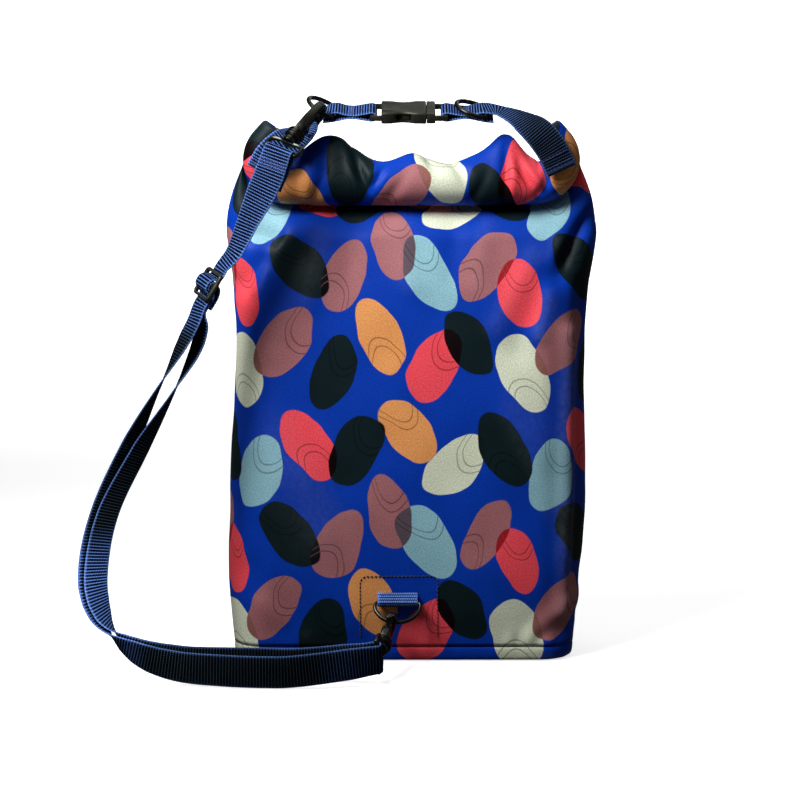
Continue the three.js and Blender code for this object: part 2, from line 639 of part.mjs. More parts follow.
// The swivel: a headed post in the boss, a flange, and a long eye for the webbing along Y.
function hookSwivel() {
  const h = HOOK;
  const eye = new THREE.Path();
  const r = 4;
  eye.moveTo(h.eyeTop, -h.eyeHalf + r);
  eye.absarc(h.eyeTop - r, h.eyeHalf - r, r, 0, Math.PI / 2, false);
  eye.absarc(h.eyeBar + r, h.eyeHalf - r, r, Math.PI / 2, Math.PI, false);
  eye.absarc(h.eyeBar + r, -h.eyeHalf + r, r, Math.PI, 1.5 * Math.PI, false);
  eye.absarc(h.eyeTop - r, -h.eyeHalf + r, r, 1.5 * Math.PI, 2 * Math.PI, false);
  const loop = rodRound(eye, h.rod, 24, 6).rotateY(-Math.PI / 2);
  const post = bar(h.post, h.eyeTop, 9.6, 12);
  const head = bar(h.head, 8 + GAP, 10, 12);
  const flange = bar(h.boss - 0.4, h.eyeTop - 0.6, h.bossLow - GAP, 14);
  return joined([loop, post, head, flange]);
}

// Three bars in a frame: strap along X, bars along Y.
function slider() {
  const s = SLIDER;
  const x = s.along / 2;
  const y = s.across / 2;
  const outline = new THREE.Shape();
  outline.moveTo(-x + s.corner, -y);
  outline.absarc(x - s.corner, -y + s.corner, s.corner, -Math.PI / 2, 0, false);
  outline.absarc(x - s.corner, y - s.corner, s.corner, 0, Math.PI / 2, false);
  outline.absarc(-x + s.corner, y - s.corner, s.corner, Math.PI / 2, Math.PI, false);
  outline.absarc(-x + s.corner, -y + s.corner, s.corner, Math.PI, 1.5 * Math.PI, false);
  const upper = box(-s.slotEnd, -s.slotHalf, -5, -s.barHalf, s.slotHalf, 5);
  const lower = box(s.barHalf, -s.slotHalf, -5, s.slotEnd, s.slotHalf, 5);
  return joined([plate(outline, s.thick, 0.8, 4)], [upper, lower]);
}

// The assembly

const bag = new THREE.Group();
const cloth = new THREE.MeshStandardMaterial({ color: 0x24409e, roughness: 0.5, metalness: 0 });
const strapCloth = new THREE.MeshStandardMaterial({ color: 0x1d2f6f, roughness: 0.85, metalness: 0 });
const plastic = new THREE.MeshStandardMaterial({ color: 0x17181a, roughness: 0.4, metalness: 0 });

function add(name, geometry, material, parent = bag) {
  const mesh = new THREE.Mesh(geometry, material);
  mesh.name = name;
  parent.add(mesh);
  return mesh;
}

add('bag_body', bagBody(), cloth);
add('base_panel', basePanel(), cloth);

// The handle: both closure straps, the buckle and the two upper rings share one tilted frame.
const tilt = radians(HANDLE.tilt);
const handleAcross = vec(0, Math.cos(tilt), Math.sin(tilt));
const handleUp = vec(0, -Math.sin(tilt), Math.cos(tilt));
const handleAt = (x) => vec(x, HANDLE.y, HANDLE.z);

const buckle = new THREE.Group();
place(buckle, frameOf(handleAt(BUCKLE.mouth), X, handleAcross));
add('buckle_socket', buckleSocket(), plastic, buckle);
add('buckle_plug', bucklePlug(), plastic, buckle);
bag.add(buckle);

// A closure strap: sewn end on the roll's turned-up end, over the ring's bar, round the buckle's bar
// and back underneath. Side is 1 on the right and -1 on the left.
function closureStrap(side, ringX, barX) {
  const above = STRAP.thick / 2 + GAP + TOP_RING.rod + 0.3;
  const wrap = STRAP.thick / 2 + GAP + BUCKLE.bar + 0.2;
  const sewn = (STRAP.thick + GAP) / 2;
  const ring = handleAt(ringX);
  const end = handleAt(barX);
  const between = combine([ring, 0.55], [end, 0.45]);
  const rows = side > 0 ? CLOSURE_RIGHT : CLOSURE_LEFT;
  const outer = rows.map((r) => ({ p: vec(r.x, r.y, r.z), w: vec(r.wx, r.wy, r.wz) }));
  outer.push(
    { p: combine([ring, 1], [handleUp, above]), w: handleAcross },
    { p: combine([between, 1], [handleUp, sewn]), w: handleAcross },
    { p: combine([end, 1], [handleUp, wrap], [X, side * 1.5]), w: handleAcross },
  );
  const under = [
    { p: combine([end, 1], [handleUp, -wrap], [X, side * 1.5]), w: handleAcross },
    { p: combine([between, 1], [handleUp, -sewn]), w: handleAcross },
    { p: combine([ring, 1], [handleUp, -above]), w: handleAcross },
    { p: combine([ring, 1], [handleUp, -4.5], [X, side * 8]), w: handleAcross },
  ];
  const turn = roundBar(end, handleAcross, handleUp, X.clone().multiplyScalar(-side), wrap, 6);
  const places = [...smoothPlaces(outer, 18), ...turn, ...smoothPlaces(under, 9)];
  return webbing(places, STRAP.width, STRAP.thick);
}
const plugBar = BUCKLE.mouth + BUCKLE.plugBar;
const socketBar = BUCKLE.mouth + BUCKLE.socketBar;
add('closure_strap_left', closureStrap(-1, HANDLE.leftRing, socketBar), strapCloth);
add('closure_strap_right', closureStrap(1, HANDLE.rightRing, plugBar), strapCloth);

// The free ring on the right lies back along the webbing towards the buckle.
const rightLift = radians(HANDLE.rightLift);
const rightBow = combine([X, -Math.cos(rightLift)], [handleUp, Math.sin(rightLift)]);
const rightRing = frameOf(handleAt(HANDLE.rightRing), rightBow, handleAcross);
place(add('ring_right', dRing(TOP_RING), plastic), rightRing);

// The left ring points away from the buckle, and the top hook is clipped on its front half.
const leftLift = radians(HANDLE.leftLift);
const leftBow = combine([X, -Math.cos(leftLift)], [handleUp, Math.sin(leftLift)]);
const leftRing = frameOf(handleAt(HANDLE.leftRing), leftBow, handleAcross);
place(add('ring_left', dRing(TOP_RING), plastic), leftRing);

// A hook on a rod: its nose direction and the side its gate faces.
function addHook(name, rod, noseHint, gateHint) {
  const up = squareTo(noseHint, rod.along);
  let through = rod.along.clone();
  if (through.clone().cross(up).dot(gateHint) < 0) through.negate();
  const gateSide = through.clone().cross(up);
  const origin = combine([rod.p, 1], [up, -HOOK.rodZ], [gateSide, -HOOK.rodX]);
  const hook = place(new THREE.Group(), { origin, x: gateSide, y: through, z: up });
  add(`${name}_body`, hookBody(), plastic, hook);
  add(`${name}_gate`, hookGate(), plastic, hook);
  bag.add(hook);
  return { origin, up, eye: combine([origin, 1], [up, HOOK.eyeBar]) };
}

// The hook's swivel, turned until the bar of its eye is square to the strap.
function addSwivel(name, hook, strapAhead, acrossHint) {
  const across = hook.up.clone().cross(strapAhead).normalize();
  if (across.dot(acrossHint) < 0) across.negate();
  const frame = { origin: hook.origin, x: across.clone().cross(hook.up), y: across, z: hook.up };
  place(add(`${name}_swivel`, hookSwivel(), plastic), frame);
  return across;
}
const topHook = addHook('hook_top', onBow(TOP_RING, leftRing, -68), vec(0.37, 0.62, 0.69), vec(0.2, 0.68, -0.69));

// The tab low on the front holds the lower ring.
const frontY = bodyPoint(TAB.bar, 0, 'front').y;
const tabBar = vec(TAB.x, frontY - 2 * GAP - TAB.thick - BASE_RING.rod - 0.4, TAB.bar);
const baseRing = frameOf(tabBar, vec(0, -0.7, -0.71), vec(-1, 0, 0));
place(add('ring_base', dRing(BASE_RING), plastic), baseRing);

function ringTab() {
  const wrap = BASE_RING.rod + GAP + TAB.thick / 2 + 0.4;
  const wall = (z) => bodyPoint(z, 0, 'front').y - GAP - TAB.thick / 2;
  const turn = roundBar(tabBar, X, Y, vec(0, 0, -1), wrap, 8);
  const { x, top, step, slope } = TAB;
  const behind = [
    { p: vec(x, wall(top), top), w: X },
    { p: vec(x, wall(top - step), top - step), w: X },
  ];
  const front = [
    { p: vec(x, wall(top - step) - TAB.thick - GAP - slope, top - step), w: X },
    { p: vec(x, wall(top) - TAB.thick - GAP, top), w: X },
  ];
  return webbing([...behind, ...turn, ...front], TAB.width, TAB.thick);
}
add('ring_tab', ringTab(), strapCloth);

const lowHook = addHook('hook_base', onBow(BASE_RING, baseRing, 15), vec(0.1, 0.945, 0.31), vec(0.3, -0.2, 0.9));

// The shoulder strap's route as a curve with its direction across and its outer side.
const routePoints = STRAP_ROUTE.map((r) => vec(r.x, r.y, r.z));
routePoints[0] = topHook.eye.clone();
routePoints[routePoints.length - 1] = lowHook.eye.clone();
const route = new THREE.CatmullRomCurve3(routePoints, false, 'centripetal');
const routeAcross = STRAP_ROUTE.map((r) => vec(r.wx, r.wy, r.wz).normalize());
const lastRow = STRAP_ROUTE.length - 1;
routeAcross[0] = addSwivel('hook_top', topHook, route.getTangent(0), routeAcross[0]);
routeAcross[lastRow] = addSwivel('hook_base', lowHook, route.getTangent(1), routeAcross[lastRow]);
const routeTurn = new THREE.CatmullRomCurve3(routeAcross, false, 'centripetal');
const routeLength = route.getLength();

// The route at a length along it: place, direction, across and outer side.
function routeAt(length) {
  const u = THREE.MathUtils.clamp(length / routeLength, 0, 1);
  const t = route.getUtoTmapping(u);
  const ahead = route.getTangent(t);
  const across = squareTo(routeTurn.getPoint(t), ahead);
  return { p: route.getPoint(t), ahead, across, out: ahead.clone().cross(across), row: t * (STRAP_ROUTE.length - 1) };
}

function lengthOfRow(row) {
  const steps = 400;
  const lengths = route.getLengths(steps);
  return lengths[Math.round((row / (STRAP_ROUTE.length - 1)) * steps)];
}
const sliderAt = lengthOfRow(SLIDER_ROW);

// The webbing at a length along the route, moved outwards and kept off the floor.
function strapPlace(length, out) {
  const at = routeAt(length);
  const p = combine([at.p, 1], [at.out, out]);
  p.z = Math.max(p.z, (STRAP.width / 2) * Math.abs(at.across.z) + STRAP.thick / 2 + 0.1);
  return { p, w: at.across };
}

// The webbing in the slider, whose middle bar is square to the route.
const atSlider = routeAt(sliderAt);
function sliderPlace({ along, out }) {
  return { p: combine([atSlider.p, 1], [atSlider.ahead, along], [atSlider.out, out]), w: atSlider.across };
}

// How far the two layers lie from the route, away from the slider and the hooks.
function behindAt(length) {
  const { row } = routeAt(length);
  return fromTable(STRAP_ROUTE.map((r, i) => ({ row: i, behind: r.behind })), 'row', row, 'behind');
}

function shoulderStrap() {
  const wrap = HOOK.rod + GAP + STRAP.thick / 2 + 0.4;
  const firstWeave = SLIDER_WEAVE[0].along;
  const lastWeave = -firstWeave;
  const step = 13;
  const places = [];
  // The sewn tail behind the start, then the turn round the upper eye.
  for (const length of [28, 16, 7]) places.push(strapPlace(length, -wrap + 0.5 * (length > 10)));
  const start = routeAt(0);
  const back = start.out.clone().negate();
  places.push(...roundBar(start.p, start.across, back, start.ahead.clone().negate(), wrap, 6));
  // One layer down to the slider, woven through it, and on to the lower eye.
  const upper = sliderAt + firstWeave;
  for (let length = 7; length < upper - 5; length += step) {
    places.push(strapPlace(length, lerp(wrap, SLIDER_WEAVE[0].out, length / upper)));
  }
  for (const row of SLIDER_WEAVE) places.push(sliderPlace(row));
  const lower = sliderAt + lastWeave;
  const run = routeLength - lower;
  for (let length = lower + step; length < routeLength - 5; length += step) {
    const t = (length - lower) / run;
    const out = lerp(SLIDER_WEAVE[0].out, 0, Math.min(t * 6, 1)) + wrap * Math.max(t * 8 - 7, 0);
    places.push(strapPlace(length, out));
  }
  // Round the lower eye and back behind the first layer.
  const end = routeAt(routeLength);
  places.push(...roundBar(end.p, end.across, end.out, end.ahead, wrap, 6));
  const rest = sliderAt + SLIDER_END[0].along + 8;
  for (let length = routeLength - 8; length > rest; length -= step) {
    const t = (routeLength - length) / (routeLength - rest);
    const least = lerp(wrap, -SLIDER_END[0].out, t);
    places.push(strapPlace(length, -Math.max(behindAt(length), least)));
  }
  for (const row of SLIDER_END) places.push(sliderPlace(row));
  return webbing(places, STRAP.width, STRAP.thick);
}
add('shoulder_strap', shoulderStrap(), strapCloth);

place(add('strap_slider', slider(), plastic), {
  origin: atSlider.p, x: atSlider.ahead, y: atSlider.across, z: atSlider.out,
});

export default bag;
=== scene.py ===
"""Roll-top backpack of coated printed cloth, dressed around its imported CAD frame.

Shapes are worked out in millimetres in the part's own frame: +Z up, the front facing -Y. They
become metres where a mesh is made.
"""

import contextlib
import json
import math

import bpy
import numpy as np
from mathutils import Matrix, Vector

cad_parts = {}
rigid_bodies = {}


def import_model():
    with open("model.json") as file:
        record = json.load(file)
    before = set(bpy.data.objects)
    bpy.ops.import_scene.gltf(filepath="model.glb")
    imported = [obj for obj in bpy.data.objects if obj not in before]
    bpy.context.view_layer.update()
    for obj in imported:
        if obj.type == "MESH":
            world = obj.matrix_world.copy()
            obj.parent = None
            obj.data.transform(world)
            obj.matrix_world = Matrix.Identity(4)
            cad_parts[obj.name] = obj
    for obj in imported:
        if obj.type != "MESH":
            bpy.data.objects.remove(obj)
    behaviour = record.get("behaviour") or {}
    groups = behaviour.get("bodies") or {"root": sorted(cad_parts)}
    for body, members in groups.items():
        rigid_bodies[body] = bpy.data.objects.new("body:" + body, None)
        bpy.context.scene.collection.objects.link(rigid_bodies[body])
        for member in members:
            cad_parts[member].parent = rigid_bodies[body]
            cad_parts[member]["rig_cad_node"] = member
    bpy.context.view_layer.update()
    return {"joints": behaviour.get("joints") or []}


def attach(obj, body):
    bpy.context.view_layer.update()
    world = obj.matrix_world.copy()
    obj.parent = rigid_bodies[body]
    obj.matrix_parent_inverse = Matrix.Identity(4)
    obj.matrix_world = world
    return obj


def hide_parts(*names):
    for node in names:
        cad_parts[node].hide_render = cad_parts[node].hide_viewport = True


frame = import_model()
bpy.ops.object.select_all(action="DESELECT")

MM = 0.001
GAP = 0.3
X = np.array([1.0, 0.0, 0.0])
Y = np.array([0.0, 1.0, 0.0])
Z = np.array([0.0, 0.0, 1.0])
JOINTS = {joint["name"]: joint for joint in frame["joints"]}

# Camera and light

CAMERA = {"elevation": 8, "distance": 1.8, "lens": 100.6, "target": (-0.009, 0, 0.204)}


def add_camera():
    data = bpy.data.cameras.new("camera")
    data.lens = CAMERA["lens"]
    data.clip_end = 30
    camera = bpy.data.objects.new("camera", data)
    bpy.context.scene.collection.objects.link(camera)
    tilt = math.radians(CAMERA["elevation"])
    back = Vector((0, -math.cos(tilt), math.sin(tilt)))
    camera.location = Vector(CAMERA["target"]) + back * CAMERA["distance"]
    camera.rotation_euler = (-back).to_track_quat("-Z", "Y").to_euler()
    bpy.context.scene.camera = camera


def add_lamp(name, place, aim, size, power, spread=180):
    data = bpy.data.lights.new(name, "AREA")
    data.shape = "RECTANGLE"
    data.size, data.size_y = size
    data.energy = power
    data.spread = math.radians(spread)
    lamp = bpy.data.objects.new(name, data)
    bpy.context.scene.collection.objects.link(lamp)
    lamp.location = place
    lamp.visible_camera = False
    towards = Vector(aim) - Vector(place)
    lamp.rotation_euler = towards.to_track_quat("-Z", "Y").to_euler()


def add_studio():
    world = bpy.data.worlds.new("studio")
    bpy.context.scene.world = world
    world.use_nodes = True
    background = world.node_tree.nodes["Background"]
    background.inputs["Color"].default_value = (1, 1, 1, 1)
    background.inputs["Strength"].default_value = 0.05
    add_lamp("key", (-0.46, -0.46, 0.9), (0, -0.05, 0.31), (0.42, 0.42), 2.9, 85)
    add_lamp("overhead", (0.05, 0.25, 2.0), (0, -0.1, 0), (1.4, 1.4), 2, 80)
    add_lamp("right_strip", (1.2, -0.5, 0.7), (0, 0, 0.3), (0.2, 0.9), 0.4)
    add_lamp("strap_fill", (0.1, -0.9, 0.35), (-0.25, -0.1, 0.07), (0.1, 0.1), 0.1, 14)
    add_lamp("wall_wash", (0, 1.3, 2.7), (0, 3.4, 0.9), (3.2, 0.5), 70, 120)
    add_lamp("behind", (0.5, 1.7, 1.1), (0, 0, 0.25), (0.8, 0.8), 1.5)
    bpy.context.scene.view_settings.view_transform = "Standard"


# Materials


class Value:
    """A shader value. Arithmetic on it adds Math nodes to its finish."""

    def __init__(self, finish, socket):
        self.finish = finish
        self.socket = socket

    def maths(self, operation, *values, clamp=False):
        settings = {"operation": operation, "use_clamp": clamp}
        return self.finish.node("ShaderNodeMath", settings, dict(enumerate(values)))

    def __add__(self, other):
        return self.maths("ADD", self, other)

    def __radd__(self, other):
        return self.maths("ADD", other, self)

    def __sub__(self, other):
        return self.maths("SUBTRACT", self, other)

    def __rsub__(self, other):
        return self.maths("SUBTRACT", other, self)

    def __mul__(self, other):
        return self.maths("MULTIPLY", self, other)

    def __rmul__(self, other):
        return self.maths("MULTIPLY", other, self)

    def __abs__(self):
        return self.maths("ABSOLUTE", self)

    def sine(self):
        return self.maths("SINE", self)

    def clamped(self):
        return self.maths("ADD", self, 0.0, clamp=True)

    def largest(self, other):
        return self.maths("MAXIMUM", self, other)


class Finish:
    """A material whose nodes are added one call at a time."""

    def __init__(self, name):
        self.material = bpy.data.materials.new(name)
        self.material.use_nodes = True
        self.tree = self.material.node_tree
        self.tree.nodes.clear()

    def node(self, kind, settings=None, sockets=None, output=0):
        made = self.tree.nodes.new(kind)
        for key, value in (settings or {}).items():
            setattr(made, key, value)
        for key, value in (sockets or {}).items():
            target = made.inputs[key]
            if isinstance(value, Value):
                self.tree.links.new(value.socket, target)
            else:
                target.default_value = value
        return Value(self, made.outputs[output]) if made.outputs else None

    def vector(self, operation, *values, output=0):
        settings = {"operation": operation}
        return self.node("ShaderNodeVectorMath", settings, dict(enumerate(values)), output)

    def parts(self, vector):
        return [self.node("ShaderNodeSeparateXYZ", None, {0: vector}, i) for i in range(2)]

    def mix(self, factor, first, second, blend="MIX"):
        settings = {"data_type": "RGBA", "blend_type": blend, "clamp_factor": True}
        return self.node("ShaderNodeMix", settings, {0: factor, 6: first, 7: second}, 2)

    def noise(self, vector, scale, detail=3, roughness=0.5):
        sockets = {"Vector": vector, "Scale": scale, "Detail": detail, "Roughness": roughness}
        return self.node("ShaderNodeTexNoise", None, sockets, "Fac")

    def place(self):
        return self.node("ShaderNodeTexCoord", None, None, "Object")

    def attribute(self, name):
        return self.node("ShaderNodeAttribute", {"attribute_name": name}, None, "Fac")

    def along_cloth(self):
        """The place on the flat cloth in millimetres, from the piece's own map."""
        flat = self.node("ShaderNodeUVMap", {"uv_map": "cloth"})
        return self.vector("MULTIPLY", flat, (1000, 1000, 0))

    def bump(self, height, strength, distance):
        sockets = {"Strength": strength, "Distance": distance * MM, "Height": height}
        return self.node("ShaderNodeBump", None, sockets)

    def surface(self, **sockets):
        named = {
            key.replace("_", " ").title().replace("Ior", "IOR"): value
            for key, value in sockets.items()
        }
        shader = self.node("ShaderNodeBsdfPrincipled", None, named)
        self.node("ShaderNodeOutputMaterial", None, {"Surface": shader})
        return self.material


def shade(red, green, blue):
    """A colour as it looks on a screen, 0 to 255, made linear."""
    linear = []
    for part in (red, green, blue):
        part /= 255
        linear.append(part / 12.92 if part < 0.04045 else ((part + 0.055) / 1.055) ** 2.4)
    return (*linear, 1)


INK = {
    "ground": shade(6, 57, 172),
    "coral": shade(246, 78, 90),
    "mauve": shade(166, 106, 110),
    "cream": shade(224, 230, 204),
    "ice": shade(144, 192, 206),
    "pine": shade(14, 30, 34),
    "apricot": shade(234, 156, 92),
}
# The repeat of the print: ovals like river pebbles, each with its middle, its lean in degrees, its
# half sizes and its ink. Its end gives the point that two thin arcs are drawn round, like layers in
# a pebble, and 0 leaves it plain.
PRINT_TILE = (224.0, 212.0)
PEBBLES = [
    ("across", "up", "lean", "half_width", "half_height", "ink", "end"),
    (18, 26, 24, 18, 31, "coral", 0.3),
    (44, 44, -36, 16, 29, "pine", 0.0),
    (88, 20, -22, 19, 32, "cream", -0.35),
    (122, 44, 42, 17, 31, "mauve", 0.4),
    (162, 22, 12, 18, 30, "pine", 0.3),
    (200, 50, -28, 17, 31, "apricot", -0.3),
    (14, 98, -30, 18, 32, "ice", 0.35),
    (60, 104, 30, 17, 31, "mauve", -0.4),
    (86, 82, -12, 16, 29, "coral", 0.3),
    (136, 104, -40, 18, 32, "pine", 0.35),
    (172, 96, 20, 17, 31, "mauve", -0.3),
    (210, 124, -10, 17, 31, "mauve", 0.4),
    (34, 160, 40, 18, 31, "cream", 0.3),
    (72, 172, -26, 17, 32, "pine", -0.35),
    (108, 152, 16, 17, 30, "ice", 0.3),
    (146, 176, -34, 18, 32, "coral", -0.3),
    (184, 170, 28, 18, 31, "pine", 0.35),
    (222, 188, -40, 16, 29, "apricot", 0.3),
]
# How far in from a pebble's edge its ink is full, and the noise that makes the edges wander.
INK_EDGE = 0.5
WANDER = {"scale": 0.018, "far": 14}
# The two arcs, in shares of the pebble's half sizes: the height of the point that they go round, how
# far from it their middle lies, each arc's distance from that middle and half the width of its line.
ARCS = {"up": 0.9, "reach": 0.78, "apart": 0.1, "half": 0.028, "sharp": 40, "dark": 0.4}


def pebble_mask(finish, flat, row):
    """How far inside one pebble of the repeat a place lies, and its own upright coordinates."""
    middle = (row["across"], row["up"], 0)
    half_tile = (PRINT_TILE[0] / 2, PRINT_TILE[1] / 2, 1)
    opposite = tuple(-part for part in half_tile)
    from_middle = finish.vector("SUBTRACT", flat, middle)
    nearest = finish.vector("WRAP", from_middle, half_tile, opposite)
    turned = finish.node(
        "ShaderNodeVectorRotate",
        {"rotation_type": "Z_AXIS"},
        {"Vector": nearest, "Angle": math.radians(row["lean"])},
    )
    sized = finish.vector("DIVIDE", turned, (row["half_width"], row["half_height"], 1))
    reach = finish.vector("LENGTH", sized, output="Value")
    sharp = row["half_width"] / INK_EDGE
    return ((1 - reach) * sharp).clamped(), sized


def pebble_arcs(finish, sized, end):
    """Where the two thin arcs of a pebble lie."""
    point = (end, math.copysign(ARCS["up"], end), 0)
    from_point = finish.vector("SUBTRACT", sized, point)
    reach = finish.vector("LENGTH", from_point, output="Value")
    off_line = abs(abs(reach - ARCS["reach"]) - ARCS["apart"])
    return ((ARCS["half"] - off_line) * ARCS["sharp"]).clamped()


def pebble_print(finish, flat):
    """The colour of the print. Where two pebbles lie over each other their inks darken."""
    names = PEBBLES[0]
    wander = finish.node(
        "ShaderNodeTexNoise",
        {"noise_dimensions": "2D"},
        {"Vector": flat, "Scale": WANDER["scale"]},
        "Color",
    )
    wander = finish.vector("SUBTRACT", wander, (0.5, 0.5, 0.5))
    moved = finish.vector("MULTIPLY", wander, (WANDER["far"], WANDER["far"], 0))
    drawn = finish.vector("ADD", flat, moved)
    colour = INK["ground"]
    covered = 0.0
    for values in PEBBLES[1:]:
        row = dict(zip(names, values))
        ink = INK[row["ink"]]
        mask, sized = pebble_mask(finish, drawn, row)
        plain = finish.mix(mask, colour, ink)
        darkened = finish.mix(mask, colour, ink, "MULTIPLY")
        colour = finish.mix(covered, plain, darkened)
        if row["end"]:
            arcs = pebble_arcs(finish, sized, row["end"]) * mask
            darker = tuple(part * ARCS["dark"] for part in ink[:3]) + (1,)
            colour = finish.mix(arcs, colour, darker)
        covered = mask.largest(covered)
    return colour


# Spacing of the yarns in the cloth and across the webbing.
WEAVE_PITCH, YARN_PITCH = 0.62, 1.7


def coated_cloth():
    """Smooth coated cloth: the print, a satin coat, a fine weave and paler rubbed folds."""
    finish = Finish("coated_cloth")
    flat = finish.along_cloth()
    place = finish.place()
    colour = pebble_print(finish, flat)
    mottle = finish.noise(place, 55, 4)
    clouds = finish.mix(mottle, (0.25, 0.25, 0.25, 1), (1, 1, 1, 1))
    colour = finish.mix(0.22, colour, clouds, "SOFT_LIGHT")
    speckle = finish.noise(flat, 0.85, 2, 0.6)
    colour = finish.vector("MULTIPLY", colour, 0.45 + 1.1 * speckle)
    scuff = (finish.attribute("worn") * finish.noise(place, 240, 2) * 0.9).clamped()
    colour = finish.mix(scuff * 0.16, colour, (0.5, 0.54, 0.62, 1))
    across, up = finish.parts(flat)
    turns = 2 * math.pi / WEAVE_PITCH
    weave = (across * turns).sine() * (up * turns).sine()
    grain = finish.noise(place, 900, 3)
    height = weave * 0.35 + grain
    rough = 0.4 + 0.16 * finish.noise(place, 38, 4) + 0.1 * scuff
    return finish.surface(
        base_color=colour,
        roughness=rough,
        specular_ior_level=0.1,
        coat_weight=0.02,
        coat_roughness=0.25,
        normal=finish.bump(height, 0.35, 0.12),
    )


def ribbed_webbing():
    """Woven strap: grooves of painted shade, rib crests of painted highlight broken by the warp yarns,
    selvages of painted highlight, runs of painted shade.
    """
    finish = Finish("ribbed_webbing")
    flat = finish.along_cloth()
    place = finish.place()
    across = finish.parts(flat)[0]
    crest, selvage, rib, dim = (finish.attribute(name) for name in ("crest", "selvage", "rib", "dim"))
    yarn = (across * (2 * math.pi / YARN_PITCH) + rib * math.pi).sine() * 0.5 + 0.5
    speck = finish.noise(place, 900, 3)
    tone = finish.noise(place, 34, 3)
    # Painted light on the ribs: a painted highlight on each crest and painted shade in the grooves, with
    # a painted highlight along the selvages.
    painted_rib_light = crest * (0.3 + 0.7 * yarn) + selvage * 0.5 + (speck - 0.5) * 0.2
    painted_rib_light = (painted_rib_light * (0.7 + 0.6 * tone)).clamped()
    colour = finish.mix(painted_rib_light, shade(1, 4, 18), shade(118, 160, 248))
    # Painted shade: some runs turn a near-black dotted colour, while the painted highlight on the
    # selvages stays.
    shaded_dots = finish.mix(painted_rib_light, shade(1, 2, 2), shade(54, 70, 86))
    colour = finish.mix(dim * (1 - 0.7 * selvage), colour, shaded_dots)
    height = yarn * crest + speck * 0.35
    return finish.surface(
        base_color=colour,
        roughness=0.55 + 0.25 * speck,
        specular_ior_level=0.02,
        normal=finish.bump(height, 0.7, 0.3),
    )


def moulded_plastic(name, dark, pale, rough):
    """Black plastic with a fine moulded grain and faint rubbing."""
    finish = Finish(name)
    place = finish.place()
    grain = finish.noise(place, 2200, 2)
    rub = finish.noise(place, 130, 4)
    rubbed = ((rub - 0.52) * 4).clamped()
    return finish.surface(
        base_color=finish.mix(rubbed * 0.6, dark, pale),
        roughness=rough + 0.14 * rub,
        specular_ior_level=0.5,
        specular_tint=(0.93, 0.96, 0.8, 1),
        normal=finish.bump(grain, 0.25, 0.08),
    )


def sewing_thread(name, dark, pale):
    """Twisted thread."""
    finish = Finish(name)
    place = finish.place()
    twist = finish.node(
        "ShaderNodeTexWave",
        {"wave_type": "BANDS", "bands_direction": "DIAGONAL"},
        {"Vector": place, "Scale": 900, "Distortion": 1.5},
        "Fac",
    )
    colour = finish.mix(twist, dark, pale)
    return finish.surface(
        base_color=colour, roughness=0.6, sheen_weight=0.2, normal=finish.bump(twist, 0.5, 0.1)
    )


CLOTH_FINISH = coated_cloth()
WEBBING_FINISH = ribbed_webbing()
GLOSS_PLASTIC = moulded_plastic("gloss_plastic", shade(3, 3, 3), shade(16, 16, 14), 0.2)
SATIN_PLASTIC = moulded_plastic("satin_plastic", shade(34, 35, 29), shade(62, 63, 52), 0.36)
BLACK_THREAD = sewing_thread("black_thread", shade(4, 4, 6), shade(24, 24, 28))
BLUE_THREAD = sewing_thread("blue_thread", shade(18, 26, 80), shade(50, 74, 160))

# Meshes from arrays


def new_piece(name, points, faces, finish, flat=None, body="bag", values=None):
    """A smooth mesh from points in millimetres. Flat gives each face corner's place on the cloth."""
    mesh = bpy.data.meshes.new(name)
    mesh.from_pydata((np.asarray(points) * MM).tolist(), [], list(faces))
    mesh.polygons.foreach_set("use_smooth", [True] * len(mesh.polygons))
    if flat is not None:
        layer = mesh.uv_layers.new(name="cloth")
        layer.uv.foreach_set("vector", (np.asarray(flat, np.float32) * MM).ravel())
    for key, numbers in (values or {}).items():
        attribute = mesh.attributes.new(key, "FLOAT", "POINT")
        attribute.data.foreach_set("value", np.asarray(numbers, np.float32).ravel())
    mesh.materials.append(finish)
    mesh.update()
    piece = bpy.data.objects.new(name, mesh)
    bpy.context.scene.collection.objects.link(piece)
    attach(piece, body)
    return piece


def grid_faces(rows, columns, ring_rows):
    """Quads of a grid whose columns close on themselves. Its rows may close too."""
    low = np.arange(rows if ring_rows else rows - 1)
    high = (low + 1) % rows
    here = np.arange(columns)
    after = (here + 1) % columns
    corners = [
        low[:, None] * columns + here,
        low[:, None] * columns + after,
        high[:, None] * columns + after,
        high[:, None] * columns + here,
    ]
    return np.stack(corners, -1).reshape(-1, 4)


def grid_flat(across, up, across_end, ring_rows):
    """Each face corner's place on the cloth: across for each column, up for each row."""
    after = np.append(across[1:], across_end)
    low = up if ring_rows else up[:-1]
    high = np.append(up[1:], up[0]) if ring_rows else up[1:]
    shape = (len(low), len(across))
    corners = [(across, low), (after, low), (after, high), (across, high)]
    made = [
        np.stack([np.broadcast_to(u, shape), np.broadcast_to(v[:, None], shape)], -1)
        for u, v in corners
    ]
    return np.stack(made, 2).reshape(-1, 2)


def table(names, *rows):
    """Named columns from rows of numbers."""
    return {name: np.array([row[i] for row in rows], float) for i, name in enumerate(names.split())}


def eased_between(t, start, leave, end, arrive):
    """From start to end as t runs from 0 to 1, with the given slopes at both."""
    t2 = t * t
    t3 = t2 * t
    ends = start * (2 * t3 - 3 * t2 + 1) + end * (3 * t2 - 2 * t3)
    return ends + leave * (t3 - 2 * t2 + t) + arrive * (t3 - t2)


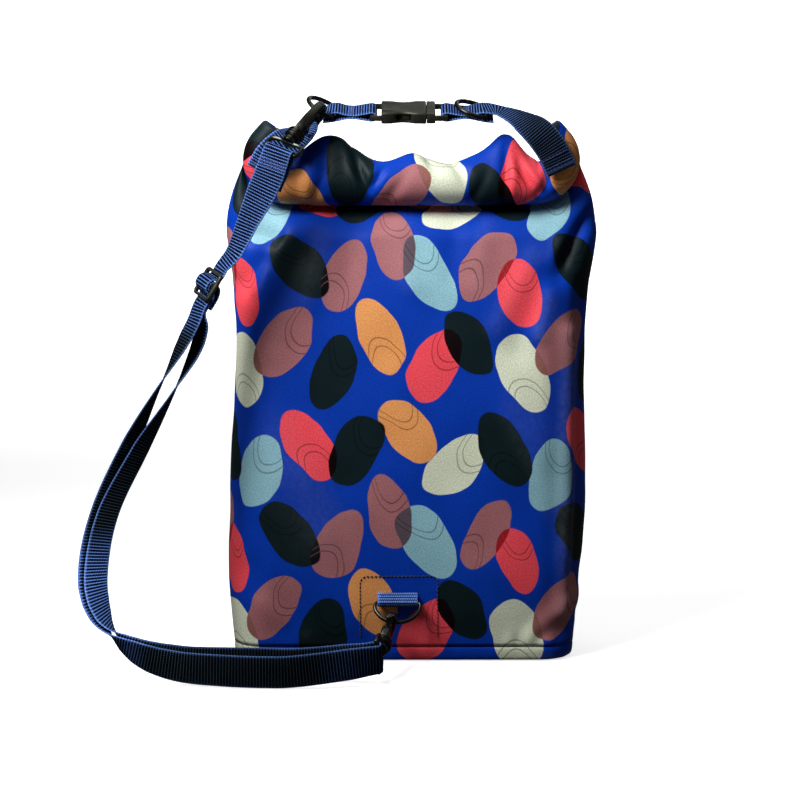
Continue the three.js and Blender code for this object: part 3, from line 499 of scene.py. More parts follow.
def from_table(rows, key, at, column):
    """One column at a place along another, smooth between rows."""
    keys, values = rows[key], rows[column]
    at = np.asarray(at, float)
    last = len(keys) - 2
    i = np.clip(np.searchsorted(keys, at) - 1, 0, last)
    a, b = values[i], values[i + 1]
    t = np.clip((at - keys[i]) / (keys[i + 1] - keys[i]), 0, 1)
    slope_a = np.where(i == 0, b - a, (b - values[np.maximum(i - 1, 0)]) / 2)
    slope_b = np.where(i == last, b - a, (values[np.minimum(i + 2, last + 1)] - a) / 2)
    return eased_between(t, a, slope_a, b, slope_b)


def smooth_step(value, low, high):
    t = np.clip((value - low) / (high - low), 0, 1)
    return t * t * (3 - 2 * t)


def unit(vectors):
    return vectors / np.linalg.norm(vectors, axis=-1, keepdims=True)


def square_to(vectors, axis):
    """The part of each vector square to its unit axis, made unit length."""
    along = (vectors * axis).sum(-1, keepdims=True)
    return unit(vectors - along * axis)


# The bag's shape, from the same sections and roll as its solid

CLOTH = 1.1
COLLAR_GAP = 0.4
HEM_Z = 12.3
COLLAR_Z = 335.0
SECTIONS = table(
    "z middle half_width front back corner bow",
    (12.3, -6, 136.5, -46, 46, 26, 1),
    (40, -5.4, 139.8, -48, 48, 33, 3),
    (80, -4, 142.8, -49, 49, 39, 4.5),
    (125, -2.8, 143.3, -49, 49, 42, 5),
    (170, -2, 142.2, -48, 48, 42, 5),
    (215, -1, 140.6, -45.5, 46, 40, 4.5),
    (260, 0, 139.6, -41.5, 43, 37, 4),
    (300, 0, 142.6, -36.5, 38.5, 33, 3),
    (335, 0, 147.6, -29, 32, 28, 2),
)
ROLL_Y, ROLL_Z = -15.0, 378.0
ROLL_TURNS, ROLL_PITCH = 1.8, 3.5
ROLL_START = math.radians(10)
ROLL_START_LIFT = 2.0
ROLL_STRAIGHT, ROLL_BEND_RADIUS = 98.0, 21.0
ROLL_BEND = math.radians(126)
ROLL_TAIL, ROLL_LEAN, ROLL_CLEAR = 14.0, 5.0, 2.5
ROLL_HALF = ROLL_STRAIGHT + ROLL_BEND_RADIUS * ROLL_BEND + ROLL_TAIL
GIRTH = table(
    "s rise depth",
    (0, 19.5, 19.5),
    (76, 19.5, 19.5),
    (98, 18.2, 19),
    (120, 17, 17.5),
    (142, 14.5, 15.5),
    (165, 12, 13),
)
# Places along the roll where the cloth stands up or sinks in.
WAVES = table(
    "s rise reach",
    (-64, 0.98, 24),
    (-26, -0.14, 15),
    (2, 0.29, 14),
    (26, -0.15, 15),
    (52, 0.15, 12),
    (74, 1.05, 15),
)
# Creases that run round the roll: where on its length, how far each slants in a turn, its half
# width, its depth, the angle of its middle and how far round it reaches. Ridges have a depth below 0.
ROLL_CREASES = table(
    "s slant reach depth middle spread",
    (-90, 4, 7, 5.0, 175, 60),
    (-72, -5, 5, 4.0, 185, 50),
    (-47, 7, 3.4, -1.8, 150, 50),
    (-40, 7, 3.2, 5.0, 150, 55),
    (-27, -9, 2.6, 3.6, 165, 30),
    (-12, -10, 6, 2.0, 190, 45),
    (14, 8, 4, 2.4, 115, 40),
    (38, 7, 5, 3.6, 140, 55),
    (52, -8, 4, 2.6, 195, 40),
    (73, -1, 3, 4.2, 170, 55),
    (80, -1, 3.6, -1.8, 165, 50),
    (90, 12, 3.6, 5.2, 165, 40),
    (97, 12, 3.6, -2.0, 165, 40),
    (104, -9, 4, 4.0, 185, 40),
)
# Folds of the front and the back: the line each follows, its half width and its depth inwards.
FRONT_FOLDS = table(
    "x0 z0 x1 z1 reach depth",
    (134, 346, 114, 308, 9, 6),
    (-132, 342, -108, 338, 9, 6),
    (-132, 300, -116, 318, 10, 4),
    (-30, 230, 40, 120, 46, 3),
    (141, 354, 120, 318, 5, 4.5),
    (118, 332, 99, 262, 8, -3.2),
    (124, 262, 121, 40, 7, -3.6),
    (127, 250, 124, 60, 3.4, -0.8),
    (134, 300, 131, 60, 6, 2.2),
    (108, 300, 84, 250, 12, 1.6),
    (96, 322, 66, 268, 9, -1.2),
    (-96, 340, -122, 296, 6, -2.0),
    (-92, 322, -112, 262, 11, 1.7),
    (-70, 335, -84, 285, 9, -1.0),
    (-44, 345, -52, 300, 9, 1.0),
    (-8, 348, -2, 300, 11, -0.9),
    (34, 345, 30, 305, 9, 1.1),
    (60, 346, 50, 300, 8, -0.9),
    (128, 70, 96, 30, 12, 1.8),
    (134, 36, 108, 22, 6, 1.4),
    (122, 48, 92, 20, 6, -1.0),
    (-126, 74, -98, 30, 12, 1.6),
    (-118, 48, -86, 22, 7, -0.9),
    (-100, 180, -70, 110, 22, -1.2),
    (84, 200, 112, 130, 20, -1.1),
    (60, 92, 84, 44, 14, 0.9),
)
BACK_FOLDS = table(
    "x0 z0 x1 z1 reach depth",
    (132, 345, 108, 300, 10, 6),
    (-132, 345, -108, 300, 10, 6),
    (20, 250, -50, 130, 48, 3),
    (104, 310, 78, 250, 11, 1.6),
    (-104, 310, -76, 252, 11, 1.6),
    (60, 340, 52, 290, 10, -1.2),
    (-56, 342, -50, 292, 10, -1.2),
    (10, 345, 6, 298, 10, 1.2),
    (126, 70, 98, 28, 12, 1.7),
    (-126, 70, -98, 28, 12, 1.7),
    (-110, 46, -80, 20, 7, -1.0),
    (112, 48, 84, 20, 7, -1.0),
)
FACE_COLUMNS = 71
BODY_STEPS, COLLAR_STEPS, ROLL_STEP = 101, 24, 7.2
HALF_CLOTH = 168.0
WALL_DEPTH = {-1: 2 * CLOTH + COLLAR_GAP, 0: CLOTH + COLLAR_GAP / 2, 1: 0.0}


def body_point(z, place, outwards):
    """A level section's outline: place runs from -1 at the left side to 1 at the right side."""
    z, place, outwards = np.broadcast_arrays(z, place, outwards)
    columns = ("middle", "half_width", "front", "back", "corner", "bow")
    middle, half, front, back, corner, bow = (from_table(SECTIONS, "z", z, column) for column in columns)
    flat = half - corner
    arc = corner * math.pi / 2
    deep = (back - front) / 2
    run = np.abs(place) * (flat + arc + deep - corner)
    past = np.maximum(run - flat, 0)
    turn = np.minimum(past / corner, math.pi / 2)
    x = np.minimum(run, flat) + corner * np.sin(turn)
    depth = deep - corner * (1 - np.cos(turn)) - np.maximum(past - arc, 0)
    swell = bow * (1 - (x / half) ** 2)
    y = (front + back) / 2 + outwards * (depth + swell)
    return np.stack([middle + np.sign(place) * x, y, z], -1)


def roll_axis(s):
    """The roll's axis at a distance along it: middle, along, towards the bend's inside, radii."""
    side = np.where(s < 0, -1.0, 1.0)
    run = np.abs(s)
    turn = np.clip((run - ROLL_STRAIGHT) / ROLL_BEND_RADIUS, 0, ROLL_BEND)
    tail = np.maximum(run - ROLL_STRAIGHT - ROLL_BEND_RADIUS * ROLL_BEND, 0)
    x = np.minimum(run, ROLL_STRAIGHT) + ROLL_BEND_RADIUS * np.sin(turn) + tail * math.cos(ROLL_BEND)
    z = ROLL_Z + ROLL_BEND_RADIUS * (1 - np.cos(turn)) + tail * math.sin(ROLL_BEND)
    y = ROLL_Y - ROLL_LEAN * smooth_step(run, ROLL_STRAIGHT, ROLL_HALF)
    nothing = np.zeros_like(x)
    middle = np.stack([side * x, y, z], -1)
    along = np.stack([np.cos(turn), nothing, side * np.sin(turn)], -1)
    inside = np.stack([-side * np.sin(turn), nothing, np.cos(turn)], -1)
    rise, depth = (from_table(GIRTH, "s", run, column) for column in ("rise", "depth"))
    return middle, along, inside, rise, depth


def roll_wave(s, angle):
    wave = sum(
        rise * np.exp(-(((s - at) / reach) ** 2))
        for at, rise, reach in zip(WAVES["s"], WAVES["rise"], WAVES["reach"])
    )
    return 1 + wave * np.maximum(np.sin(angle), 0) ** 2


def roll_crease(s, angle):
    """How far the creases draw the roll in. All its turns share them."""
    depth = np.zeros(np.broadcast(s, angle).shape)
    for at, slant, reach, deep, middle, spread in zip(*ROLL_CREASES.values()):
        round_it = np.mod(angle - math.radians(middle) + math.pi, 2 * math.pi) - math.pi
        fade = np.exp(-((round_it / math.radians(spread)) ** 2))
        depth = depth + deep * fade * np.exp(-(((s - at - slant * round_it) / reach) ** 2))
    return depth


def roll_point(s, angle, wall):
    s, angle, wall = np.broadcast_arrays(s, angle, wall)
    middle, _, inside, rise, depth = roll_axis(s)
    turned = angle - ROLL_START
    lift = ROLL_START_LIFT * np.exp(-turned / 0.7)
    crease = roll_crease(s, angle) * smooth_step(turned, 0.1, 1.2)
    wound = ROLL_PITCH * turned / (2 * math.pi) + wall - lift + crease
    across = (depth - wound) * np.cos(angle)
    upwards = (rise * roll_wave(s, angle) - wound) * np.sin(angle)
    return middle + across[..., None] * Y + upwards[..., None] * inside


def clear_of_roll(points, t, wall):
    """Points of the collar are kept outside the roll that lies in front of them."""
    samples = np.linspace(-ROLL_HALF, ROLL_HALF, 401)
    middle, along, inside, rise, depth = roll_axis(samples)
    apart = np.linalg.norm(points[..., None, :] - middle, axis=-1)
    near = apart.argmin(-1)
    offset = points - middle[near]
    deep = offset @ Y / depth[near]
    high = (offset * inside[near]).sum(-1) / rise[near]
    reach = np.hypot(deep, high)
    away = ROLL_CLEAR + WALL_DEPTH[-1]
    blend = smooth_step(t, 0.75, 1)
    least = 1 + (away + (ROLL_START_LIFT - away) * blend - wall) / depth[near]
    grow = np.maximum(least / np.maximum(reach, 1e-6), 1)
    run = (offset * along[near]).sum(-1)
    pushed = (
        middle[near]
        + run[..., None] * along[near]
        + (deep * depth[near] * grow)[..., None] * Y
        + (high * rise[near] * grow)[..., None] * inside[near]
    )
    return np.where((reach >= least)[..., None], points, pushed)


def collar_point(t, place, outwards, wall):
    """Between the body and the roll the two walls draw together."""
    t, place, outwards, wall = np.broadcast_arrays(t, place, outwards, wall)
    low = body_point(COLLAR_Z, place, outwards)
    below = body_point(COLLAR_Z - 6, place, outwards)
    s = place * ROLL_HALF
    high = roll_point(s, ROLL_START, wall)
    inside = roll_axis(s)[2]
    length = np.linalg.norm(high - low, axis=-1, keepdims=True)
    leave = unit(low - below) * length * 0.9
    arrive = math.cos(ROLL_START) * inside - math.sin(ROLL_START) * Y
    arrive = arrive * length * (0.8 - 0.25 * np.abs(place)[..., None] ** 4)
    points = eased_between(t[..., None], low, leave, high, arrive)
    return clear_of_roll(points, t, wall)


def outward(loops):
    """The outward direction at each point of a grid whose columns close on themselves."""
    across = np.roll(loops, -1, 1) - np.roll(loops, 1, 1)
    up = np.gradient(loops, axis=0)
    return unit(np.cross(across, up))


def fold_depth(points, folds):
    depth = np.zeros(points.shape[:-1])
    flat = points[..., [0, 2]]
    for x0, z0, x1, z1, reach, deep in zip(*folds.values()):
        start = np.array([x0, z0])
        run = np.array([x1 - x0, z1 - z0])
        t = np.clip((flat - start) @ run / (run @ run), 0, 1)
        off = np.linalg.norm(flat - start - t[..., None] * run, axis=-1)
        depth += deep * np.exp(-((off / reach) ** 2))
    return depth


def slack(points):
    """Low uneven waves of slack cloth, none under the ring tab."""
    x, y, z = points[..., 0], points[..., 1], points[..., 2]
    wave = 0.55 * np.sin(x / 23 + z / 41) * np.sin(z / 29 - x / 57)
    wave = wave + 0.35 * np.sin(x / 13 - z / 17 + 1.3) * np.sin(z / 37 + y / 19)
    wave = wave + 0.2 * np.sin(x / 7.1 + z / 9.3 + 0.4) * np.sin(z / 21 - x / 15 + 2)
    tab = np.exp(-(((x + 11) / 30) ** 2) - (((z - 52) / 26) ** 2)) * (y < 0)
    gathers = 0.8 * np.sin(x / 2.6) * np.exp(-(((z - 17) / 7) ** 2)) * smooth_step(x, 62, 84)
    return wave * (1 - tab) * smooth_step(z, HEM_Z, 30) + gathers * smooth_step(z, HEM_Z, 16)


def bag_columns():
    places = np.linspace(-1, 1, 2 * FACE_COLUMNS - 1)
    place = np.concatenate([places, places[-2:0:-1]])
    outwards = np.concatenate([-np.ones(len(places)), np.ones(len(places) - 2)])
    edge = np.abs(place) > 0.9999
    wall = np.array([WALL_DEPTH[0 if e else int(o)] for e, o in zip(edge, outwards)])
    flat = np.where(outwards < 0, place, 2 - place) * HALF_CLOTH
    return place, outwards, wall, flat


def bag_skin():
    """The outer skin from hem to mouth, how worn it is, and its rows' places along the cloth."""
    place, outwards, wall, flat = bag_columns()
    heights = np.linspace(HEM_Z, COLLAR_Z, BODY_STEPS)
    shares = np.linspace(0, 1, COLLAR_STEPS + 1)[1:-1]
    angles = ROLL_START + np.radians(np.arange(0, ROLL_TURNS * 360 + 1, ROLL_STEP))
    body = body_point(heights[:, None], place, outwards)
    collar = collar_point(shares[:, None], place, outwards, wall)
    rolled = roll_point(place * ROLL_HALF, angles[:, None], wall)
    loops = np.concatenate([body, collar, rolled])
    soft = np.concatenate([
        smooth_step(heights, HEM_Z, 20), 1 - smooth_step(shares, 0.5, 0.75), np.zeros(len(angles))
    ])[:, None]
    folds = np.where(outwards < 0, fold_depth(loops, FRONT_FOLDS), fold_depth(loops, BACK_FOLDS))
    waves = slack(loops) * (1 - smooth_step(np.arange(len(loops))[:, None], BODY_STEPS, BODY_STEPS + 12))
    depth = folds * soft + waves
    skin = loops - outward(loops) * depth[..., None]
    worn = np.clip(-folds * soft / 2.5, 0, 1) + 0 * place
    worn[len(heights):] += 0.3 * smooth_step(np.abs(place), 0.95, 1)
    steps = np.linalg.norm(np.diff(skin, axis=0), axis=-1).mean(1)
    up = np.concatenate([[HEM_Z], HEM_Z + np.cumsum(steps)])
    return skin, worn, flat, up


def add_bag():
    skin, worn, flat, up = bag_skin()
    lining_rows = np.append(np.arange(0, len(skin) - 1, 2), len(skin) - 1)[::-1]
    inner = (skin - outward(skin) * CLOTH)[lining_rows]
    loops = np.concatenate([skin, inner])
    rows = np.concatenate([up, up[lining_rows]])
    end = flat[0] + 4 * HALF_CLOTH
    bag = new_piece(
        "bag_cloth",
        loops.reshape(-1, 3),
        grid_faces(len(loops), loops.shape[1], True),
        CLOTH_FINISH,
        grid_flat(flat, rows, end, True),
        values={"worn": np.concatenate([worn, worn[lining_rows] * 0])},
    )
    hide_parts("bag_body")
    size = (4 * HALF_CLOTH * MM, (up[-1] - up[0]) * MM)
    return skin


# The base panel, turned up round its edge

BASE_EDGE = table("run inset z", (0, 0, 12), (6, 0.4, 6), (11, 1.8, 1.4), (17, 6, 0))
BASE_WALL = 1.3
BASE_FLOOR = 1.6
# Where the middle of the base lies on the print, measured as the bag's heights are.
BASE_MIDDLE = -60.0


def hem_loop(inset, z, pucker=0.0):
    """The bag's hem drawn in by an inset, at a height."""
    place, outwards, _, _ = bag_columns()
    middle, half, deep = (SECTIONS[column][0] for column in ("middle", "half_width", "back"))
    from_middle = body_point(HEM_Z, place, outwards) - np.array([middle, 0, HEM_Z])
    scale = np.array([(half - inset) / half, (deep - inset) / deep, 1])
    wave = np.sin(place * 61 + outwards) * np.sin(place * 23 + 1.7) * pucker
    return middle * X + z * Z + from_middle * scale + unit(from_middle) * wave[:, None]


def capped_faces(rows, columns):
    """Quads of a tube with a fan of triangles closing each end. The two middles come last."""
    faces = grid_faces(rows, columns, False).tolist()
    first, last = rows * columns, rows * columns + 1
    top = (rows - 1) * columns
    for here in range(columns):
        after = (here + 1) % columns
        faces.append([after, here, first])
        faces.append([top + here, top + after, last])
    return faces


def base_skins():
    """Rows from the hem down under the edge, and back up inside."""
    last = BASE_EDGE["run"][-1]
    runs = np.linspace(0, last, 15)
    insets, heights = (from_table(BASE_EDGE, "run", runs, key) for key in ("inset", "z"))
    heights = np.maximum(heights, 0)
    outer = [
        hem_loop(inset + 0.5 * math.exp(-run / 0.8), z, 0.35 * math.sin(run / last * math.pi))
        for run, inset, z in zip(runs, insets, heights)
    ]
    floors = np.where(runs < last / 2, heights, np.maximum(heights, BASE_FLOOR))
    inner = [hem_loop(inset + BASE_WALL, z) for inset, z in zip(insets[::3], floors[::3])]
    return outer, inner


def add_base():
    outer, inner = base_skins()
    columns = len(outer[0])
    loops = np.array(inner[::-1] + outer)
    middles = [SECTIONS["middle"][0] * X + BASE_FLOOR * Z, SECTIONS["middle"][0] * X]
    points = np.vstack([loops.reshape(-1, 3), middles])
    faces = capped_faces(len(loops), columns)
    flat = np.append(bag_columns()[3], bag_columns()[3][0] + 4 * HALF_CLOTH)
    last = BASE_EDGE["run"][-1]
    down = HEM_Z - np.append(np.linspace(last, 0, len(inner)), np.linspace(0, last, len(outer)))
    corners = []
    for face in faces:
        rows = [min(i // columns, len(loops) - 1) for i in face]
        here = [i % columns for i in face]
        wraps = max(here) == columns - 1 and min(here) == 0
        for row, column, index in zip(rows, here, face):
            column = columns if wraps and column == 0 else column
            centre = index >= len(loops) * columns
            corners.append((flat[here[0]], BASE_MIDDLE) if centre else (flat[column], down[row]))
    worn = {"worn": worn_edge(points)}
    base = new_piece("base_cloth", points, faces, CLOTH_FINISH, corners, values=worn)
    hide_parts("base_panel")


def worn_edge(points):
    """The turned edge is rubbed where it meets the floor."""
    return 0.9 * np.exp(-(((points[:, 2] - 2.5) / 3) ** 2)) * (np.abs(points[:, 0]) > 90)


# Webbing

# Ribs of each webbing: spacing, height, how narrow the painted highlight on each crest is and how much
# painted shade makes some runs near-black.
RIBS = {
    "shoulder": {"pitch": 2.35, "height": 0.2, "narrow": 8, "painted_shade_share": 1},
    "closure": {"pitch": 2.1, "height": 0.16, "narrow": 5, "painted_shade_share": 0.9},
    "tab": {"pitch": 2.2, "height": 0.14, "narrow": 1, "painted_shade_share": 0},
}
RIB_SAMPLES = 10
STRAP_WIDTH, TAB_WIDTH, WEB_THICK = 25.0, 32.0, 1.6


def through(points, t):
    """A smooth curve through points, whose own values of t are 0, 1, 2 and so on."""
    points = np.asarray(points, float)
    t = np.atleast_1d(np.asarray(t, float))
    ends = np.vstack([2 * points[0] - points[1], points, 2 * points[-1] - points[-2]])
    i = np.clip(np.floor(t).astype(int), 0, len(points) - 2)
    u = (t - i)[:, None]
    p0, p1, p2, p3 = (ends[i + k] for k in range(4))

    def pace(a, b):
        return np.maximum(np.sqrt(np.linalg.norm(b - a, axis=-1, keepdims=True)), 1e-3)

    d0, d1, d2 = pace(p0, p1), pace(p1, p2), pace(p2, p3)
    leave = ((p1 - p0) / d0 - (p2 - p0) / (d0 + d1) + (p2 - p1) / d1) * d1
    arrive = ((p2 - p1) / d1 - (p3 - p1) / (d1 + d2) + (p3 - p2) / d2) * d1
    return eased_between(u, p1, leave, p2, arrive)


class Webbing:
    """A length of webbing: its middle line, its direction across and its outer side, row by row."""

    def __init__(self, places, spacing):
        points = np.array([place for place, _ in places])
        across = np.array([way for _, way in places])
        fine = np.linspace(0, len(points) - 1, 24 * len(points))
        line = through(points, fine)
        lengths = np.concatenate([[0], np.cumsum(np.linalg.norm(np.diff(line, axis=0), axis=1))])
        rows = max(int(round(lengths[-1] / spacing)), 8)
        self.length = lengths[-1]
        self.run = np.linspace(0, self.length, rows + 1)
        share = np.interp(self.run, lengths, fine)
        self.line = through(points, share)
        self.ahead = unit(np.gradient(self.line, axis=0))
        hint = np.stack([np.interp(share, np.arange(len(points)), across[:, k]) for k in range(3)], -1)
        self.across = square_to(hint, self.ahead)
        self.out = np.cross(self.ahead, self.across)

    def at(self, run, across=0.0, out=0.0):
        """A place on the webbing, with the directions ahead, across and out there."""
        ways = [
            np.stack([np.interp(run, self.run, source[:, k]) for k in range(3)], -1)
            for source in (self.line, self.ahead, self.across, self.out)
        ]
        return ways[0] + across * ways[2] + out * ways[3], ways[1], ways[2], ways[3]


# Half of the webbing's section, from the middle of its outer side round an edge to the middle of its
# inner side, as shares of the half width and the half thickness.
WEB_SECTION = table(
    "across out",
    (0.0, 1.0),
    (0.45, 1.0),
    (0.85, 1.0),
    (0.97, 0.72),
    (1.0, 0.0),
    (0.97, -0.72),
    (0.85, -1.0),
    (0.45, -1.0),
    (0.0, -1.0),
)


def painted_shade_runs(points):
    """Painted shade on webbing: near-black where the strap hangs and along the floor, and a painted
    shadow at the right sewn end.
    """
    x, z = points[:, 0], points[:, 2]
    hanging = smooth_step(z, 92, 125) * (1 - smooth_step(z, 258, 282))
    lying = (1 - smooth_step(z, 30, 44)) * smooth_step(x, -226, -200)
    lying = lying * (1 - 0.3 * smooth_step(x, -80, -45))
    # A painted shadow at the right closure's sewn end, in the fold of the roll's turned-up end.
    sewn = smooth_step(np.abs(x), 62, 98) * smooth_step(z, 375, 385) * (x > 0)
    return np.maximum(np.maximum(hanging, lying), sewn)


def webbing_piece(name, node, web, width, rib):
    """Ribbed webbing round its middle line. Each rib stands up on both sides."""
    half = list(zip(WEB_SECTION["across"], WEB_SECTION["out"]))
    section = half + [(-a, o) for a, o in half[-2:0:-1]]
    side = np.array([a for a, _ in section]) * width / 2
    lift = np.array([o for _, o in section])
    wave = np.cos(2 * math.pi * web.run / rib["pitch"]) * 0.5 + 0.5
    crest = np.sqrt(wave)
    edge = np.clip(np.abs(side) / (width / 2), 0, 1) ** 20
    height = WEB_THICK / 2 - rib["height"] * (1 - crest[:, None])
    swing = 0.22 * np.sin(web.run / 19) * np.sin(web.run / 31 + 1)
    spread = side * (1 - 0.012 * edge * (1 - crest[:, None])) + swing[:, None]
    points = (
        web.line[:, None]
        + spread[..., None] * web.across[:, None]
        + (lift * height)[..., None] * web.out[:, None]
    )
    columns = len(section)
    flat_points = np.vstack([points.reshape(-1, 3), web.line[0], web.line[-1]])
    faces = capped_faces(len(points), columns)
    girth = np.concatenate([[0], np.cumsum(np.linalg.norm(np.diff(points[0], axis=0), axis=1))])
    around = np.append(girth, girth[-1] + np.linalg.norm(points[0, 0] - points[0, -1]))
    body = grid_flat(around[:-1], web.run, around[-1], False)
    caps = np.zeros((6 * columns, 2))
    corners = np.vstack([body, caps])
    # Where the painted highlight of each rib crest lies; the grooves between get painted shade.
    by_row = {"crest": wave ** rib["narrow"], "rib": np.floor(web.run / rib["pitch"] + 0.5)}
    values = {key: np.append(np.repeat(row, columns), [0, 0]) for key, row in by_row.items()}
    # A painted highlight along both edges of the webbing.
    values["selvage"] = np.append(np.tile(edge, len(points)), [0, 0])
    # Painted shade along the strap's hanging and floor runs, and a painted shadow at the right closure's
    # sewn end.
    values["dim"] = rib["painted_shade_share"] * painted_shade_runs(flat_points)
    piece = new_piece(name, flat_points, faces, WEBBING_FINISH, corners, values=values)
    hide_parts(node)
    return piece


def half_turn(centre, across, start, ahead, radius, steps):
    """Webbing round a bar, from one side of it to the other."""
    turns = np.pi * np.arange(steps + 1) / steps
    ways = [start * math.cos(a) + ahead * math.sin(a) for a in turns]
    return [(centre + way * radius, across) for way in ways]


def smooth_places(rows, count):
    shares = np.linspace(0, len(rows) - 1, count + 1)
    line = through([p for p, _ in rows], shares)
    across = unit(through([w for _, w in rows], shares))
    return list(zip(line, across))


HANDLE_TILT = math.radians(18)
HANDLE_ACROSS = np.array([0, math.cos(HANDLE_TILT), math.sin(HANDLE_TILT)])
HANDLE_UP = np.array([0, -math.sin(HANDLE_TILT), math.cos(HANDLE_TILT)])
RING_X = {-1: -61.0, 1: 56.0}
BUCKLE_BAR_X = {-1: -30.7, 1: 26.7}
RING_ROD, BASE_RING_ROD, BUCKLE_BAR, HOOK_ROD = 2.0, 1.8, 1.8, 2.0
# Room that webbing has round each of them beyond the gap.
ROOM = {"ring": 0.3, "base_ring": 0.4, "buckle": 0.2, "hook": 0.4}
TAB = {"x": -11.0, "bar": 51.0, "top": 57.5, "step": 3.0, "slope": 2.4}
# The closure webbing on the roll's turned-up ends: place and direction across.
CLOSURES = {
    1: [
        ("x", "y", "z", "wx", "wy", "wz"),
        (117, -36.5, 389, 0.8, 0, 0.6),
        (109, -36.5, 405, 0.8, 0, 0.6),
        (98, -35, 419, 0.66, 0.3, 0.7),
        (84, -24.5, 429.5, 0.3, 0.85, 0.45),
        (69, -17.4, 435.2, 0, 0.95, 0.31),
    ],
    -1: [
        ("x", "y", "z", "wx", "wy", "wz"),
        (-117, -36.5, 388, -0.8, 0, 0.6),
        (-109, -36.5, 401, -0.8, 0, 0.6),
        (-98, -36.8, 410.3, -0.76, 0, 0.65),
        (-90, -28.5, 415.5, -0.45, 0.66, 0.6),
        (-80, -19, 423, -0.15, 0.93, 0.35),
        (-71, -17, 431, 0, 0.95, 0.31),
    ],
}


def handle_at(x):
    return np.array([x, -18.0, 434.0])


def closure_places(side):
    """From the sewn end over the ring's bar, round the buckle's bar and back underneath."""
    above = WEB_THICK / 2 + GAP + RING_ROD + ROOM["ring"]
    wrap = WEB_THICK / 2 + GAP + BUCKLE_BAR + ROOM["buckle"]
    sewn = (WEB_THICK + GAP) / 2
    ring, end = handle_at(RING_X[side]), handle_at(BUCKLE_BAR_X[side])
    between = 0.55 * ring + 0.45 * end
    rows = [(np.array(row[:3], float), np.array(row[3:], float)) for row in CLOSURES[side][1:]]
    outer = rows + [
        (ring + HANDLE_UP * above, HANDLE_ACROSS),
        (between + HANDLE_UP * sewn, HANDLE_ACROSS),
        (end + HANDLE_UP * wrap + X * side * 1.5, HANDLE_ACROSS),
    ]
    under = [
        (end - HANDLE_UP * wrap + X * side * 1.5, HANDLE_ACROSS),
        (between - HANDLE_UP * sewn, HANDLE_ACROSS),
        (ring - HANDLE_UP * above, HANDLE_ACROSS),
        (ring - HANDLE_UP * 4.5 + X * side * 8, HANDLE_ACROSS),
    ]
    turn = half_turn(end, HANDLE_ACROSS, HANDLE_UP, -side * X, wrap, 6)
    return smooth_places(outer, 18) + turn + smooth_places(under, 9)


def tab_places():
    """The short loop low on the front, round the lower ring's bar."""
    top, bend = TAB["top"], TAB["top"] - TAB["step"]
    wrap = BASE_RING_ROD + GAP + WEB_THICK / 2 + ROOM["base_ring"]
    layer = WEB_THICK + GAP

    def on_front(z, away):
        place = np.array([TAB["x"], body_point(z, 0.0, -1.0)[1] - GAP - WEB_THICK / 2 - away, z])
        return place, X

    bar = on_front(TAB["bar"], wrap)[0]
    under = [on_front(top, 0), on_front(bend, 0)]
    over = [on_front(bend, layer + TAB["slope"]), on_front(top, layer)]
    return under + half_turn(bar, X, Y, -Z, wrap, 8) + over


# Route of the shoulder strap from the top hook to the lower hook: place, direction across and how far
# behind it the returning layer lies. The hooks' eyes give the first and last place.
ROUTE = table(
    "x y z wx wy wz behind",
    (-91, -63, 394, 0.8, 0.05, -0.6, 0),
    (-111, -67, 381, 0.87, -0.31, -0.38, 0),
    (-125, -70, 353, 0.63, -0.71, -0.3, 0),
    (-137, -73, 330, 0.44, -0.85, -0.27, 0),
    (-156, -75, 304, 0.35, -0.91, -0.23, 0),
    (-174, -79, 266, 0.4, -0.9, -0.15, 13),
    (-194, -84, 226, -0.05, -1, 0, 12),
    (-216, -90, 182, -0.48, -0.87, 0.05, 10),
    (-237, -95, 134, -0.58, -0.8, 0.08, 7),
    (-246, -99, 97, -0.62, -0.78, 0.1, 7),
    (-246, -103, 66, -0.6, -0.75, 0.25, 6.5),
    (-234, -108, 40, -0.45, -0.65, 0.6, 4.5),
    (-210, -115, 24, -0.2, -0.35, 0.9, 5),
    (-180, -121, 16, -0.05, -0.1, 1, 12),
    (-140, -127, 13.6, 0, 0, 1, 25),
    (-95, -130, 13.4, 0, 0, 1, 24),
    (-55, -125, 17.5, 0, 0, 1, 14),
    (-27, -118, 19, 0, 0.1, 1, 0),
)
SLIDER_ROW = 4
# The webbing's way through the slider, and its sewn end round the middle bar.
SLIDER_WEAVE = table(
    "along out",
    (-17, -2.9), (-9.4, -2.9), (-7.4, -1.8), (-5.8, 1), (-4.6, 3.6), (-2.4, 4.9),
    (2.4, 4.9), (4.6, 3.6), (5.8, 1), (7.4, -1.8), (9.4, -2.9), (17, -2.9),
)
SLIDER_END = table(
    "along out",
    (20, -5.4), (9, -5.4), (5, -4.4), (3.4, -1.8), (3.3, 1.4), (2.4, 2.8),
    (-2.4, 2.8), (-3.3, 1.4), (-3.4, -1.8), (-1, -5.6), (4, -7.6), (16, -7.9),
)
EYE_BAR = -23.5


def hook_frame(name):
    """A hook's own frame: origin, gate side, through the jaw, up to the nose."""
    swivel, gate = JOINTS[f"{name}_swivel_turn"], JOINTS[f"{name}_gate_hinge"]
    up = unit(np.array(swivel["axis"], float))
    through_jaw = -unit(np.array(gate["axis"], float))
    return np.array(swivel["pos_m"], float) / MM, np.cross(through_jaw, up), through_jaw, up


